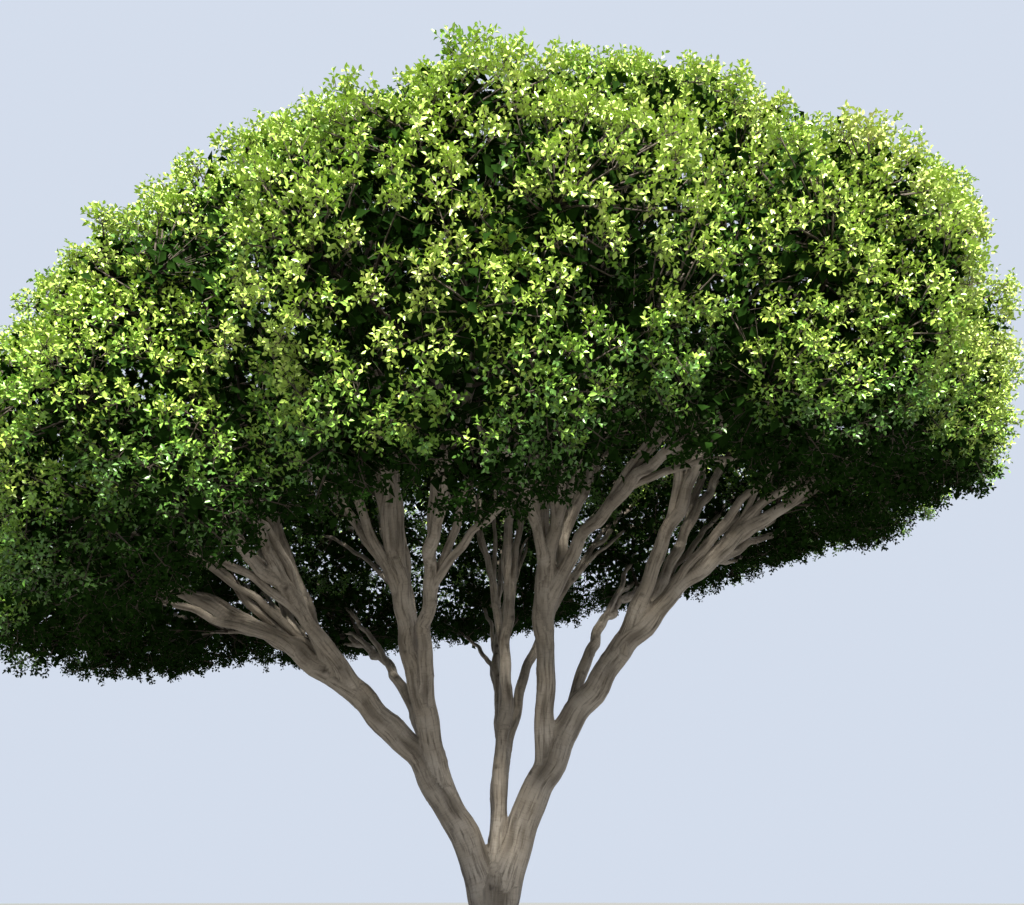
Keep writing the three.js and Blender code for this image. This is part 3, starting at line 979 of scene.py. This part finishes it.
# How far up a shoot its side shoots leave it, and their share of its length.
SIDE_SHOOTS = [(0.15, 0.85), (0.38, 0.75), (0.6, 0.65)]
# How close leafy twigs lie all through a mass, how far from its centre they are tried, and the
# share of its outer limits that they reach.
INNER_SPACING = 0.42
INNER_REACH = 4.2
INNER_SHARE = 0.84
# The tufts close over the gaps between the solids, in valleys this deep and this wide.
VALLEY = {"depth": 0.15, "reach": 0.17}
VALLEY_SHARPNESS = 30
# How far down its sides toward its neighbours a mass still has leaves: the rest would be hidden.
SIDE_ENOUGH = 0.76
# How high above the crown's lower edge its leaves take painted shade, and by how many tints.
LOW_EDGE_SHADE = {"height": 1.8, "darker": 2.8}


def leaf_skin(name, ways):
    """How far the tufts of a mass grow from its centre, how open they are, and of which kind."""
    limits = np.array(outer_limits(name, ways))
    outer, beside = limits.min(axis=0), neighbour_limits(name, ways).min(axis=0)
    nearest = np.max(ways @ twig_ways(name).T, axis=1)
    crease = np.minimum(1, (1 - nearest) / BILLOW["reach"])
    valley = np.exp(-((np.maximum(0, beside / outer - 1) / VALLEY["reach"]) ** 2))
    outer = CORE_SHARE * outer * (1 - BILLOW["depth"] * crease) * (1 - VALLEY["depth"] * valley)
    sharpness = VALLEY_SHARPNESS
    away = (outer**-sharpness + beside**-sharpness) ** (-1 / sharpness)
    return away, beside / outer, np.argmin(limits[[0, 2, 1]], axis=0)


def tuft_places():
    """Where tufts grow: an uneven scatter over the skins of all masses, none too near another."""
    settings = bpy.context.scene.fig_leaves
    found = {"place": [], "out": [], "mass": [], "billow": [], "kind": [], "deep": []}
    for number, name in enumerate(MASSES):
        ways = golden_ways(PLACES_TRIED, 2 * math.pi * chance(number, 5))
        away, openness, kind = leaf_skin(name, ways)
        places = CENTRES[name] + ways * away[:, None]
        bulge = 0.32 * soft_noise(places, 2.1, 137) + 0.17 * soft_noise(places, 0.95, 26)
        thin = soft_noise(places, 1.5, 3) + 0.5 * soft_noise(places, 0.7, 4) < -1.05
        gap = thin & (kind != HOLLOW)
        bulge = np.clip(bulge, -0.55, 0.16) - 0.3 * gap
        places = places + ways * bulge[:, None]
        kind = np.where(openness < 1, CREASE, np.where(gap, GAP, kind))
        keep = openness > SIDE_ENOUGH
        found["place"].append(places[keep])
        found["out"].append(ways[keep])
        found["mass"].append(np.full(keep.sum(), number))
        found["billow"].append(np.argmax(ways @ twig_ways(name).T, axis=1)[keep])
        found["kind"].append(kind[keep])
        found["deep"].append(np.clip((1.15 - openness[keep]) / 0.3, 0, 1))
    found = {key: np.concatenate(value) for key, value in found.items()}
    count = len(found["place"])
    spacing = settings.tuft_spacing * SPACING[found["kind"]] * (1 + 0.15 * found["deep"])
    spacing *= 0.85 + 0.3 * chance(np.arange(count), 19)
    cell = settings.tuft_spacing
    cells = np.floor(found["place"] / cell).astype(int)
    around = [(i, j, k) for i in range(-2, 3) for j in range(-2, 3) for k in range(-2, 3)]
    taken, chosen = {}, []
    for i in np.argsort(chance(np.arange(count), 17)):
        x, y, z = cells[i]
        near = [p for a, b, c in around for p in taken.get((x + a, y + b, z + c), ())]
        place = found["place"][i]
        if near and np.min(np.sum((np.array(near) - place) ** 2, axis=1)) < spacing[i] ** 2:
            continue
        taken.setdefault((x, y, z), []).append(place)
        chosen.append(i)
    return {key: value[chosen] for key, value in found.items()}


def tuft_stalks(tufts, branches):
    """A stalk from the nearest billow's branch to each tuft: three points, foot first."""
    settings = bpy.context.scene.fig_leaves
    tops = tufts["place"] - tufts["out"] * 0.4 * settings.spray_length
    shares = np.linspace(0.35, 0.98, 9)
    table = np.array([[branch[0] for branch in branches[name]] for name in MASSES])
    lines = np.moveaxis(table[tufts["mass"], tufts["billow"]], 1, 0)[:, :, None]
    feet, leaving = on_line(lines, shares), line_way(lines, shares)
    offset = tops[:, None] - feet
    span = np.linalg.norm(offset, axis=2)
    turning = 1 - np.sum(leaving * offset, axis=2) / np.maximum(span, 1e-6)
    best = np.argmin(span * (1 + 0.8 * turning), axis=1)
    pick = np.arange(len(tops)), best
    feet, leaving, span = feet[pick], leaving[pick], span[pick][:, None]
    first = feet + leaving * span * 0.3
    second = tops - tufts["out"] * span * 0.25
    line = [points[:, None] for points in (feet, first, second, tops)]
    return on_line(line, np.linspace(0, 1, 3))


def side_limbs(branches):
    """The limbs that part from the boughs in the open, fluted like them and thick at the foot."""
    sides = 9
    points, faces, grains, hollows, total = [], [], [], [], 0
    turn = 2 * np.pi * np.arange(sides) / sides
    # First the boughs' own ends inside their masses, then the side limbs.
    limbs = []
    for limb in LIMBS.values():
        share = np.linspace(limb["bark_end"] - 0.03, 0.97, 14)
        rows, along = limb_line(limb, share)
        limbs.append((rows, along, 0.98 * limb_radius(limb, share), limb["number"]))
    for line, radius, _, number in branches:
        share = np.linspace(0, 1, 30)
        rows, along = limb_line({"line": line, "radius": radius, "number": number}, share)
        radii = radius * (1 - 0.6 * share) * (1 + 0.35 * np.exp(-along / (1.6 * radius)))
        limbs.append((rows, along, radii, number))
    for rows, along, radii, number in limbs:
        more, walls, ends = tubes(rows[None], radii[None], sides, total)
        heading, length_here = np.tile(turn, len(rows)), np.repeat(along, sides)
        local = np.repeat(radii, sides)
        relief = flutes(number, heading, length_here, local)
        knot, _ = knots(number, heading, length_here, local, along[-1])
        way = unit(more - np.repeat(rows, sides, axis=0))
        points.append(more + way * (local * relief + 0.6 * knot)[:, None])
        faces += [walls, ends]
        grain = np.stack([local * np.cos(heading), local * np.sin(heading), length_here], axis=1)
        grains.append(grain)
        # The flutes' relief also sets the painted shade in them.
        hollows.append(relief)
        total += len(more)
    obj = mesh_object("side_limbs", np.concatenate(points), faces)
    grow_attributes(obj.data, np.concatenate(grains), np.concatenate(hollows), np.zeros(total))
    return obj


# What one operator grows and the next one needs.
GROWN = {}


class FIG_OT_branches(bpy.types.Operator):
    """Grow the branches inside the crown, from the boughs of each mass to its tufts"""

    bl_idname = "fig.branches"
    bl_label = "Grow branches"

    def execute(self, context):
        branches = billow_branches()
        share = np.linspace(0, 1, 8)
        thin = [branch for name in MASSES for branch in branches[name] if not branch[2]]
        rows = np.array([on_line(branch[0], share) for branch in thin])
        feet = np.array([branch[1] for branch in thin])
        obj = joined_tubes("branches", rows, feet[:, None] * (1 - 0.62 * share), 6)
        obj.data.materials.append(young_bark("young_fig_bark"))
        dress(obj, "bark")
        thick = [branch for name in MASSES for branch in branches[name] if branch[2]]
        dress(side_limbs(thick), "bark")

        tufts = tuft_places()
        stalks = tuft_stalks(tufts, branches)
        taper = np.broadcast_to(np.linspace(0.016, 0.008, stalks.shape[1]), stalks.shape[:2])
        obj = joined_tubes("stalks", stalks, taper, 3)
        obj.data.materials.append(young_bark("fig_twig_bark"))
        dress(obj, "bark")
        GROWN.update(tufts=tufts, stalks=stalks, branches=branches)
        return {"FINISHED"}


# Sprays of leaves.


def across_ways(ways):
    """Two ways square to each given way."""
    helper = np.eye(3)[np.argmin(np.abs(ways), axis=1)]
    across = unit(np.cross(helper, ways))
    return across, np.cross(ways, across)


def scatter(seed, first):
    """Small ways that depend only on a count, from -0.5 to 0.5 on each axis."""
    return np.stack([chance(seed, first + k) - 0.5 for k in range(3)], axis=1)


def on_stalks(stalks, tuft, share):
    """Points at shares of the stalks of tufts."""
    place = share * (stalks.shape[1] - 1.001)
    whole = place.astype(int)
    part = (place - whole)[:, None]
    return stalks[tuft, whole] * (1 - part) + stalks[tuft, whole + 1] * part


def numbered(counts):
    """For things that have some parts each: the thing and the number of every part."""
    things = np.repeat(np.arange(len(counts)), counts)
    firsts = np.repeat(np.cumsum(counts) - counts, counts)
    return things, np.arange(len(things)) - firsts


def outer_sprays(tufts, stalks):
    """The sprays of every tuft: shoots that fan out from its stalk, each with three side shoots."""
    settings = bpy.context.scene.fig_leaves
    counts = SHOOTS[tufts["kind"]]
    tuft, number = numbered(counts)
    out = tufts["out"][tuft]
    across, other = across_ways(out)
    share = (number + 0.5) / counts[tuft]
    spread = np.sqrt(share) * SHOOT_SPREAD
    heading = number * GOLDEN_ANGLE + 2 * math.pi * chance(tuft, 61)
    level = np.sin(spread)[:, None]
    way = (
        out * np.cos(spread)[:, None]
        + across * level * np.cos(heading)[:, None]
        + other * level * np.sin(heading)[:, None]
    )
    seed = tuft * 31 + number
    way = unit(way + 0.45 * UP + 0.4 * scatter(seed, 70))
    size = settings.spray_length * (0.8 + 0.4 * chance(seed, 74)) * (0.85 + 0.3 * chance(tuft, 75))
    shoots = {"foot": on_stalks(stalks, tuft, 1 - 0.12 * share), "way": way, "size": size}
    shoots |= {"tuft": tuft, "seed": seed}

    # Side shoots leave all round, one above the other.
    across, other = across_ways(way)
    parts = [shoots]
    for k, (height, share) in enumerate(SIDE_SHOOTS):
        turn = 2 * math.pi * chance(seed, 77) + k * GOLDEN_ANGLE
        sideways = across * np.cos(turn)[:, None] + other * np.sin(turn)[:, None]
        lean = 1.0 + 0.4 * chance(seed, 79 + k)[:, None]
        parts.append(
            {
                "foot": shoots["foot"] + way * (height * size)[:, None],
                "way": unit(way + lean * sideways + 0.2 * UP + 0.3 * scatter(seed, 81 + k)),
                "size": size * share * (0.9 + 0.2 * chance(seed, 85 + k)),
                "tuft": tuft,
                "seed": seed + 0.27 * (k + 1),
            }
        )
    sprays = {key: np.concatenate([part[key] for part in parts]) for key in shoots}
    tip = sprays["foot"] + sprays["way"] * sprays["size"][:, None]
    for mass, name in enumerate(MASSES):
        own = np.flatnonzero(tufts["mass"][sprays["tuft"]] == mass)
        offset = tip[own] - CENTRES[name]
        limit = np.minimum.reduce(outer_limits(name, unit(offset), STANDOUT))
        over = np.linalg.norm(offset, axis=1) / limit
        sprays["size"][own] *= np.clip(1 - 16 * np.maximum(0, over - 0.985), 0.0, 1)
    keep = sprays["size"] > 0.3 * settings.spray_length
    return {key: value[keep] for key, value in sprays.items()}


def shade_sprays(tufts, stalks):
    """Side twigs that spread from the stalks just inside the crown, level with its skin."""
    counts = SHADE_TWIGS[tufts["kind"]]
    tuft, number = numbered(counts)
    seed = tuft * 23 + number
    out = tufts["out"][tuft]
    across, other = across_ways(out)
    turn = 2 * math.pi * ((number + 0.4 * chance(seed, 145)) / counts[tuft] + chance(tuft, 141))
    radial = across * np.cos(turn)[:, None] + other * np.sin(turn)[:, None]
    way = unit(radial - 0.7 * out + 0.3 * scatter(seed, 143))
    span = np.linalg.norm(stalks[:, -1] - stalks[:, 0], axis=1)[tuft]
    depth = 0.16 + 0.2 * chance(seed, 147)
    foot = on_stalks(stalks, tuft, np.clip(1 - depth / span, 0.1, 0.98))
    size = 0.26 + 0.1 * chance(seed, 149)
    return {"foot": foot, "way": way, "size": size, "tuft": tuft, "seed": seed, "out": out}


def well_inside(name, points):
    """Which points lie well under the outer skin of a mass, up to its neighbours."""
    offset = points - CENTRES[name]
    ways = unit(offset)
    outer = INNER_SHARE * np.min(outer_limits(name, ways), axis=0)
    beside = neighbour_limits(name, ways).min(axis=0) + MASS_GAP
    return np.linalg.norm(offset, axis=1) < np.minimum(outer, beside)


def inner_sprays(branches):
    """Twigs from the branches to places all through each mass: their leaves close it to the sky."""
    steps = np.arange(-INNER_REACH, INNER_REACH, INNER_SPACING)
    grid = np.stack(np.meshgrid(steps, steps, steps, indexing="ij"), axis=-1).reshape(-1, 3)
    share = np.linspace(0.3, 1, 12)
    parts = []
    for number, name in enumerate(MASSES):
        seed = np.arange(len(grid)) + len(grid) * number + 0.7
        places = CENTRES[name] + grid + 0.9 * INNER_SPACING * scatter(seed, 161)
        inside = well_inside(name, places)
        places, seed = places[inside], seed[inside]
        wood = np.concatenate([on_line(branch[0], share) for branch in branches[name]])
        offset = places[:, None] - wood
        nearest = np.argmin(np.sum(offset**2, axis=2), axis=1)
        offset = offset[np.arange(len(places)), nearest]
        parts.append(
            {
                "foot": wood[nearest],
                "way": unit(offset),
                "size": np.linalg.norm(offset, axis=1) + 0.1,
                "seed": seed,
                "out": unit(places - CENTRES[name]),
            }
        )
    return {key: np.concatenate([part[key] for part in parts]) for key in parts[0]}


def lay_leaves(sprays, counts, first, leaf_length, slimness):
    """Leaves in a spiral along each spray: flat arrays, with the number of each leaf's spray."""
    spray, step = numbered(counts)
    way, size = sprays["way"][spray], sprays["size"][spray]
    seed = sprays["seed"][spray] * 9.7 + step
    across, other = across_ways(way)
    share = first + (0.99 - first) * (step + 0.4 * chance(seed, 101)) / (counts[spray] - 0.6)
    turn = step * GOLDEN_ANGLE + 2 * math.pi * chance(sprays["seed"][spray], 103)
    radial = across * np.cos(turn)[:, None] + other * np.sin(turn)[:, None]
    splay = np.radians(78 - 36 * share + 20 * (chance(seed, 105) - 0.5))[:, None]
    grown = leaf_length[spray] * (0.8 + 0.35 * chance(seed, 111)) * (1.06 - 0.3 * share**3)
    # Shade leaves face the light outside.
    facing = sprays["out"][spray] * 1.4 if "out" in sprays else way * 0.7 + UP * 0.55
    return {
        "root": sprays["foot"][spray] + way * (share * size)[:, None],
        "axis": unit(way * np.cos(splay) + radial * np.sin(splay)),
        "face": unit(facing + 1.3 * scatter(seed, 107)),
        "length": grown,
        "width": slimness * grown * (0.9 + 0.2 * chance(seed, 113)),
        "spray": spray,
        "from_tip": counts[spray] - 1 - step,
    }


def blades(leaves, own, whole):
    """Leaves folded along the midrib: six points each where they are whole, or else four."""
    root, axis, face = leaves["root"][own], leaves["axis"][own], leaves["face"][own]
    side = unit(np.cross(axis, face))
    up = np.cross(side, axis)
    size, half = leaves["length"][own][:, None], leaves["width"][own][:, None] / 2
    right = (side * 0.92 + up * 0.39) * half
    left = (up * 0.39 - side * 0.92) * half
    tip = root + axis * size - up * 0.12 * size
    if whole:
        near = root + axis * 0.3 * size
        far = root + axis * 0.68 * size - up * 0.05 * size
        points = [root, near + right * 0.94, far + right * 0.84, tip]
        points += [far + left * 0.84, near + left * 0.94]
        faces = np.array([[0, 1, 2, 3], [0, 3, 4, 5]])
    else:
        middle = root + axis * 0.5 * size
        points = [root, middle + right, tip, middle + left]
        faces = np.array([[0, 1, 2], [0, 2, 3]])
    index = faces[None] + len(points) * np.arange(len(root))[:, None, None]
    return np.stack(points, axis=1).reshape(-1, 3), index.reshape(-1, faces.shape[1])


def leaf_piece(name, leaves, own, whole, tint, greens):
    """One object of leaves, some of them whole, each with its tint."""
    points, faces, tints, total = [], [], [], 0
    for part, full in ((own & whole, True), (own & ~whole, False)):
        more, blade_faces = blades(leaves, part, full)
        points.append(more)
        faces.append(blade_faces + total)
        tints.append(np.repeat(tint[part], 2))
        total += len(more)
    obj = mesh_object(name, np.concatenate(points), faces, np.concatenate(tints))
    for green in greens:
        obj.data.materials.append(green)
    return obj


def twig_piece(name, sprays, foot_radius):
    """Three-sided cones for the twigs of sprays, open at the foot, which the stalk hides."""
    foot, way = sprays["foot"], sprays["way"]
    across, other = across_ways(way)
    points = [foot + way * (0.97 * sprays["size"])[:, None]]
    for k in range(3):
        turn = 2 * math.pi * k / 3
        points.append(foot + foot_radius * (across * math.cos(turn) + other * math.sin(turn)))
    faces = np.array([[0, 1, 2], [0, 2, 3], [0, 3, 1]])
    index = faces[None] + 4 * np.arange(len(foot))[:, None, None]
    obj = mesh_object(name, np.stack(points, axis=1).reshape(-1, 3), [index.reshape(-1, 3)])
    obj.data.materials.append(young_bark("fig_twig_bark"))
    return obj


def spray_tints(sprays, tufts):
    """A tint for each spray, in soft patches: fresher where it points up, from new growth and
    painted light; lighter to the right with painted light; darker low, inside and under the crown
    with painted shade.
    """
    tuft, way = sprays["tuft"], sprays["way"]
    place = sprays["foot"] + way * (0.6 * sprays["size"])[:, None]
    patch = soft_noise(place, 3.1, 5) * 0.55 + soft_noise(place, 1.2, 6) * 0.35
    luck = chance(sprays["seed"], 90) + chance(sprays["seed"], 91) - 1
    # Sprays that point up are fresher: partly new growth, partly painted light from above.
    level = 3.3 + 0.5 * way[:, 2] + 1.0 * patch + 0.8 * luck + 0.4 * (chance(tuft, 93) - 0.5)
    # Painted light: sprays are lighter towards the right side of the crown.
    level += 0.8 * np.clip(place[:, 0] / 9, -1, 1)
    # Painted shade near the lower edge, where the crown above shades the leaves.
    above = (place[:, 2] - rim_height_at(place)) / LOW_EDGE_SHADE["height"]
    level -= LOW_EDGE_SHADE["darker"] * np.clip(1 - above, 0, 1)
    # Painted shade on the rim, in the hollow, creases and gaps, and deeper into the creases.
    level -= PAINTED_SHADE_TINTS[tufts["kind"][tuft]] + 0.6 * tufts["deep"][tuft]
    return np.clip(np.round(level), 0, TINTS - 1).astype(int)


LEAF_PIECES = {
    "leaves_front": ("rim_7", "rim_8", "shoulder_7"),
    "leaves_front_right": ("rim_9", "rim_10", "shoulder_8", "shoulder_9"),
    "leaves_front_left": ("rim_6", "shoulder_5", "shoulder_6"),
    "leaves_back_left": ("rim_4", "rim_5", "shoulder_4"),
    "leaves_back_right": ("rim_1", "rim_2", "shoulder_1", "shoulder_2"),
    "leaves_back": ("rim_3", "shoulder_3"),
    "leaves_top": ("upper_1", "upper_2", "upper_3", "upper_4", "upper_5", "upper_6", "top_1"),
}
# How many leaves at the tip of a spray have their full outline, and in what share of sprays.
WHOLE_LEAVES = 1
WHOLE_SHARE = 0.5


class FIG_OT_leaves(bpy.types.Operator):
    """Grow the sprays of leaves on the outside of the crown, with their twigs"""

    bl_idname = "fig.leaves"
    bl_label = "Grow leaves"

    def execute(self, context):
        settings = context.scene.fig_leaves
        tufts, stalks = GROWN["tufts"], GROWN["stalks"]
        sprays = outer_sprays(tufts, stalks)
        kind = tufts["kind"][sprays["tuft"]]
        sizes = settings.leaf_length * LEAF_GROWTH[kind]
        slimness = settings.leaf_width / settings.leaf_length
        leaves = lay_leaves(sprays, LEAVES[kind], 0.25, sizes, slimness)
        tint = spray_tints(sprays, tufts)[leaves["spray"]]
        mass = tufts["mass"][sprays["tuft"]][leaves["spray"]]
        whole = (leaves["from_tip"] < WHOLE_LEAVES) & (kind[leaves["spray"]] == DOME)
        whole &= chance(sprays["seed"][leaves["spray"]], 151) < WHOLE_SHARE
        greens = [fig_leaf(k) for k in range(TINTS)]
        for piece, masses in LEAF_PIECES.items():
            own = np.isin(mass, [MASSES.index(name) for name in masses])
            obj = leaf_piece(piece, leaves, own, whole, tint, greens)
            dress(obj, "foliage", *[f"{name}_foliage" for name in masses])
        dress(twig_piece("twigs", sprays, 0.005), "bark")
        return {"FINISHED"}


class FIG_OT_shade_leaves(bpy.types.Operator):
    """Grow the leaves on side twigs inside the crown, dark with painted shade"""

    bl_idname = "fig.shade_leaves"
    bl_label = "Grow shade leaves"

    def execute(self, context):
        settings = context.scene.fig_leaves
        tufts, stalks = GROWN["tufts"], GROWN["stalks"]
        under, inside = shade_sprays(tufts, stalks), inner_sprays(GROWN["branches"])
        sprays = {key: np.concatenate([under[key], inside[key]]) for key in inside}
        counts = np.full(len(sprays["size"]), settings.shade_leaves)
        sizes = np.full(len(counts), settings.shade_length)
        slimness = settings.shade_width / settings.shade_length
        leaves = lay_leaves(sprays, counts, 0.1, sizes, slimness)
        # All shade leaves take the near-black tint: painted shade deep inside the crown.
        tint = np.zeros(len(leaves["spray"]), dtype=int)
        none = np.zeros(len(tint), dtype=bool)
        left = sprays["foot"][leaves["spray"], 0] < 0
        greens = [fig_leaf(0)]
        for piece, own in (("shade_leaves_left", left), ("shade_leaves_right", ~left)):
            dress(leaf_piece(piece, leaves, own, none, tint, greens), "foliage")
        dress(twig_piece("shade_twigs", sprays, 0.006), "bark")
        return {"FINISHED"}


class FIG_OT_studio(bpy.types.Operator):
    """Set the pale floor, the soft lights and the camera"""

    bl_idname = "fig.studio"
    bl_label = "Set studio"

    def execute(self, context):
        settings = context.scene.fig_studio
        scene = context.scene
        sides = 96
        turn = 2 * np.pi * np.arange(sides) / sides
        edge = FLOOR_RADIUS * np.stack([np.cos(turn), np.sin(turn), np.zeros(sides)], axis=1)
        floor = mesh_object("floor", edge, [np.arange(sides)[None]])
        floor.data.materials.append(matt_floor())

        for name, power, tone, lean, heading in [
            ("key_light", settings.key_power, (1.0, 0.96, 0.86), 43, 6),
            ("back_light", settings.back_power, (0.9, 0.95, 1.0), 36, 150),
        ]:
            light = bpy.data.lights.new(name, "SUN")
            light.energy = power
            light.angle = LIGHT_WIDTH
            light.color = tone
            holder = bpy.data.objects.new(name, light)
            holder.rotation_euler = (math.radians(lean), 0, math.radians(heading))
            scene.collection.objects.link(holder)

        world = bpy.data.worlds.new("soft_sky")
        world.use_nodes = True
        background = world.node_tree.nodes["Background"]
        background.inputs["Color"].default_value = (0.78, 0.86, 1.0, 1)
        background.inputs["Strength"].default_value = settings.fill_power
        scene.world = world

        camera = bpy.data.cameras.new("camera")
        camera.sensor_width = SENSOR_WIDTH_MM
        camera.lens = FOCAL_PIXELS / PHOTO_WIDTH * SENSOR_WIDTH_MM
        camera.shift_y = (STRAIGHT_AHEAD_ROW - PHOTO_HEIGHT / 2) / PHOTO_WIDTH
        camera.clip_end = 800
        camera_object = bpy.data.objects.new("camera", camera)
        camera_object.location = (
            settings.camera_right, -settings.camera_back, settings.camera_height
        )
        camera_object.rotation_euler = (math.pi / 2 + settings.camera_tilt, 0, 0)
        scene.collection.objects.link(camera_object)
        scene.camera = camera_object
        scene.view_settings.view_transform = "Standard"
        return {"FINISHED"}


class FIG_PT_tree(bpy.types.Panel):
    """Sidebar panel with the sizes, colours and steps of the tree"""

    bl_idname = "FIG_PT_tree"
    bl_label = "Laurel Fig Tree"
    bl_space_type = "VIEW_3D"
    bl_region_type = "UI"
    bl_category = "Fig Tree"

    def draw(self, context):
        for key, operators in STEPS.items():
            box = self.layout.box()
            settings = getattr(context.scene, key)
            for name in settings.__annotations__:
                box.prop(settings, name)
            for operator in operators:
                box.operator(operator)


GROUPS = {
    "fig_limbs": LimbSettings,
    "fig_leaves": LeafSettings,
    "fig_tints": TintSettings,
    "fig_studio": StudioSettings,
}
STEPS = {
    "fig_studio": ["fig.studio"],
    "fig_limbs": ["fig.bark", "fig.branches"],
    "fig_tints": [],
    "fig_leaves": ["fig.leaves", "fig.shade_leaves"],
}
CLASSES = (
    *GROUPS.values(),
    FIG_OT_bark,
    FIG_OT_branches,
    FIG_OT_leaves,
    FIG_OT_shade_leaves,
    FIG_OT_studio,
    FIG_PT_tree,
)


def register():
    """Make the classes and their settings known to Blender."""
    for cls in CLASSES:
        bpy.utils.register_class(cls)
    for key, group in GROUPS.items():
        setattr(bpy.types.Scene, key, bpy.props.PointerProperty(type=group))


def unregister():
    """Take the settings and classes away again."""
    for key in GROUPS:
        delattr(bpy.types.Scene, key)
    for cls in reversed(CLASSES):
        bpy.utils.unregister_class(cls)


def main():
    """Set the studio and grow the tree."""
    register()
    bpy.ops.fig.studio()
    bpy.ops.fig.bark()
    bpy.ops.fig.branches()
    bpy.ops.fig.leaves()
    bpy.ops.fig.shade_leaves()


if __name__ == "__main__":
    main()
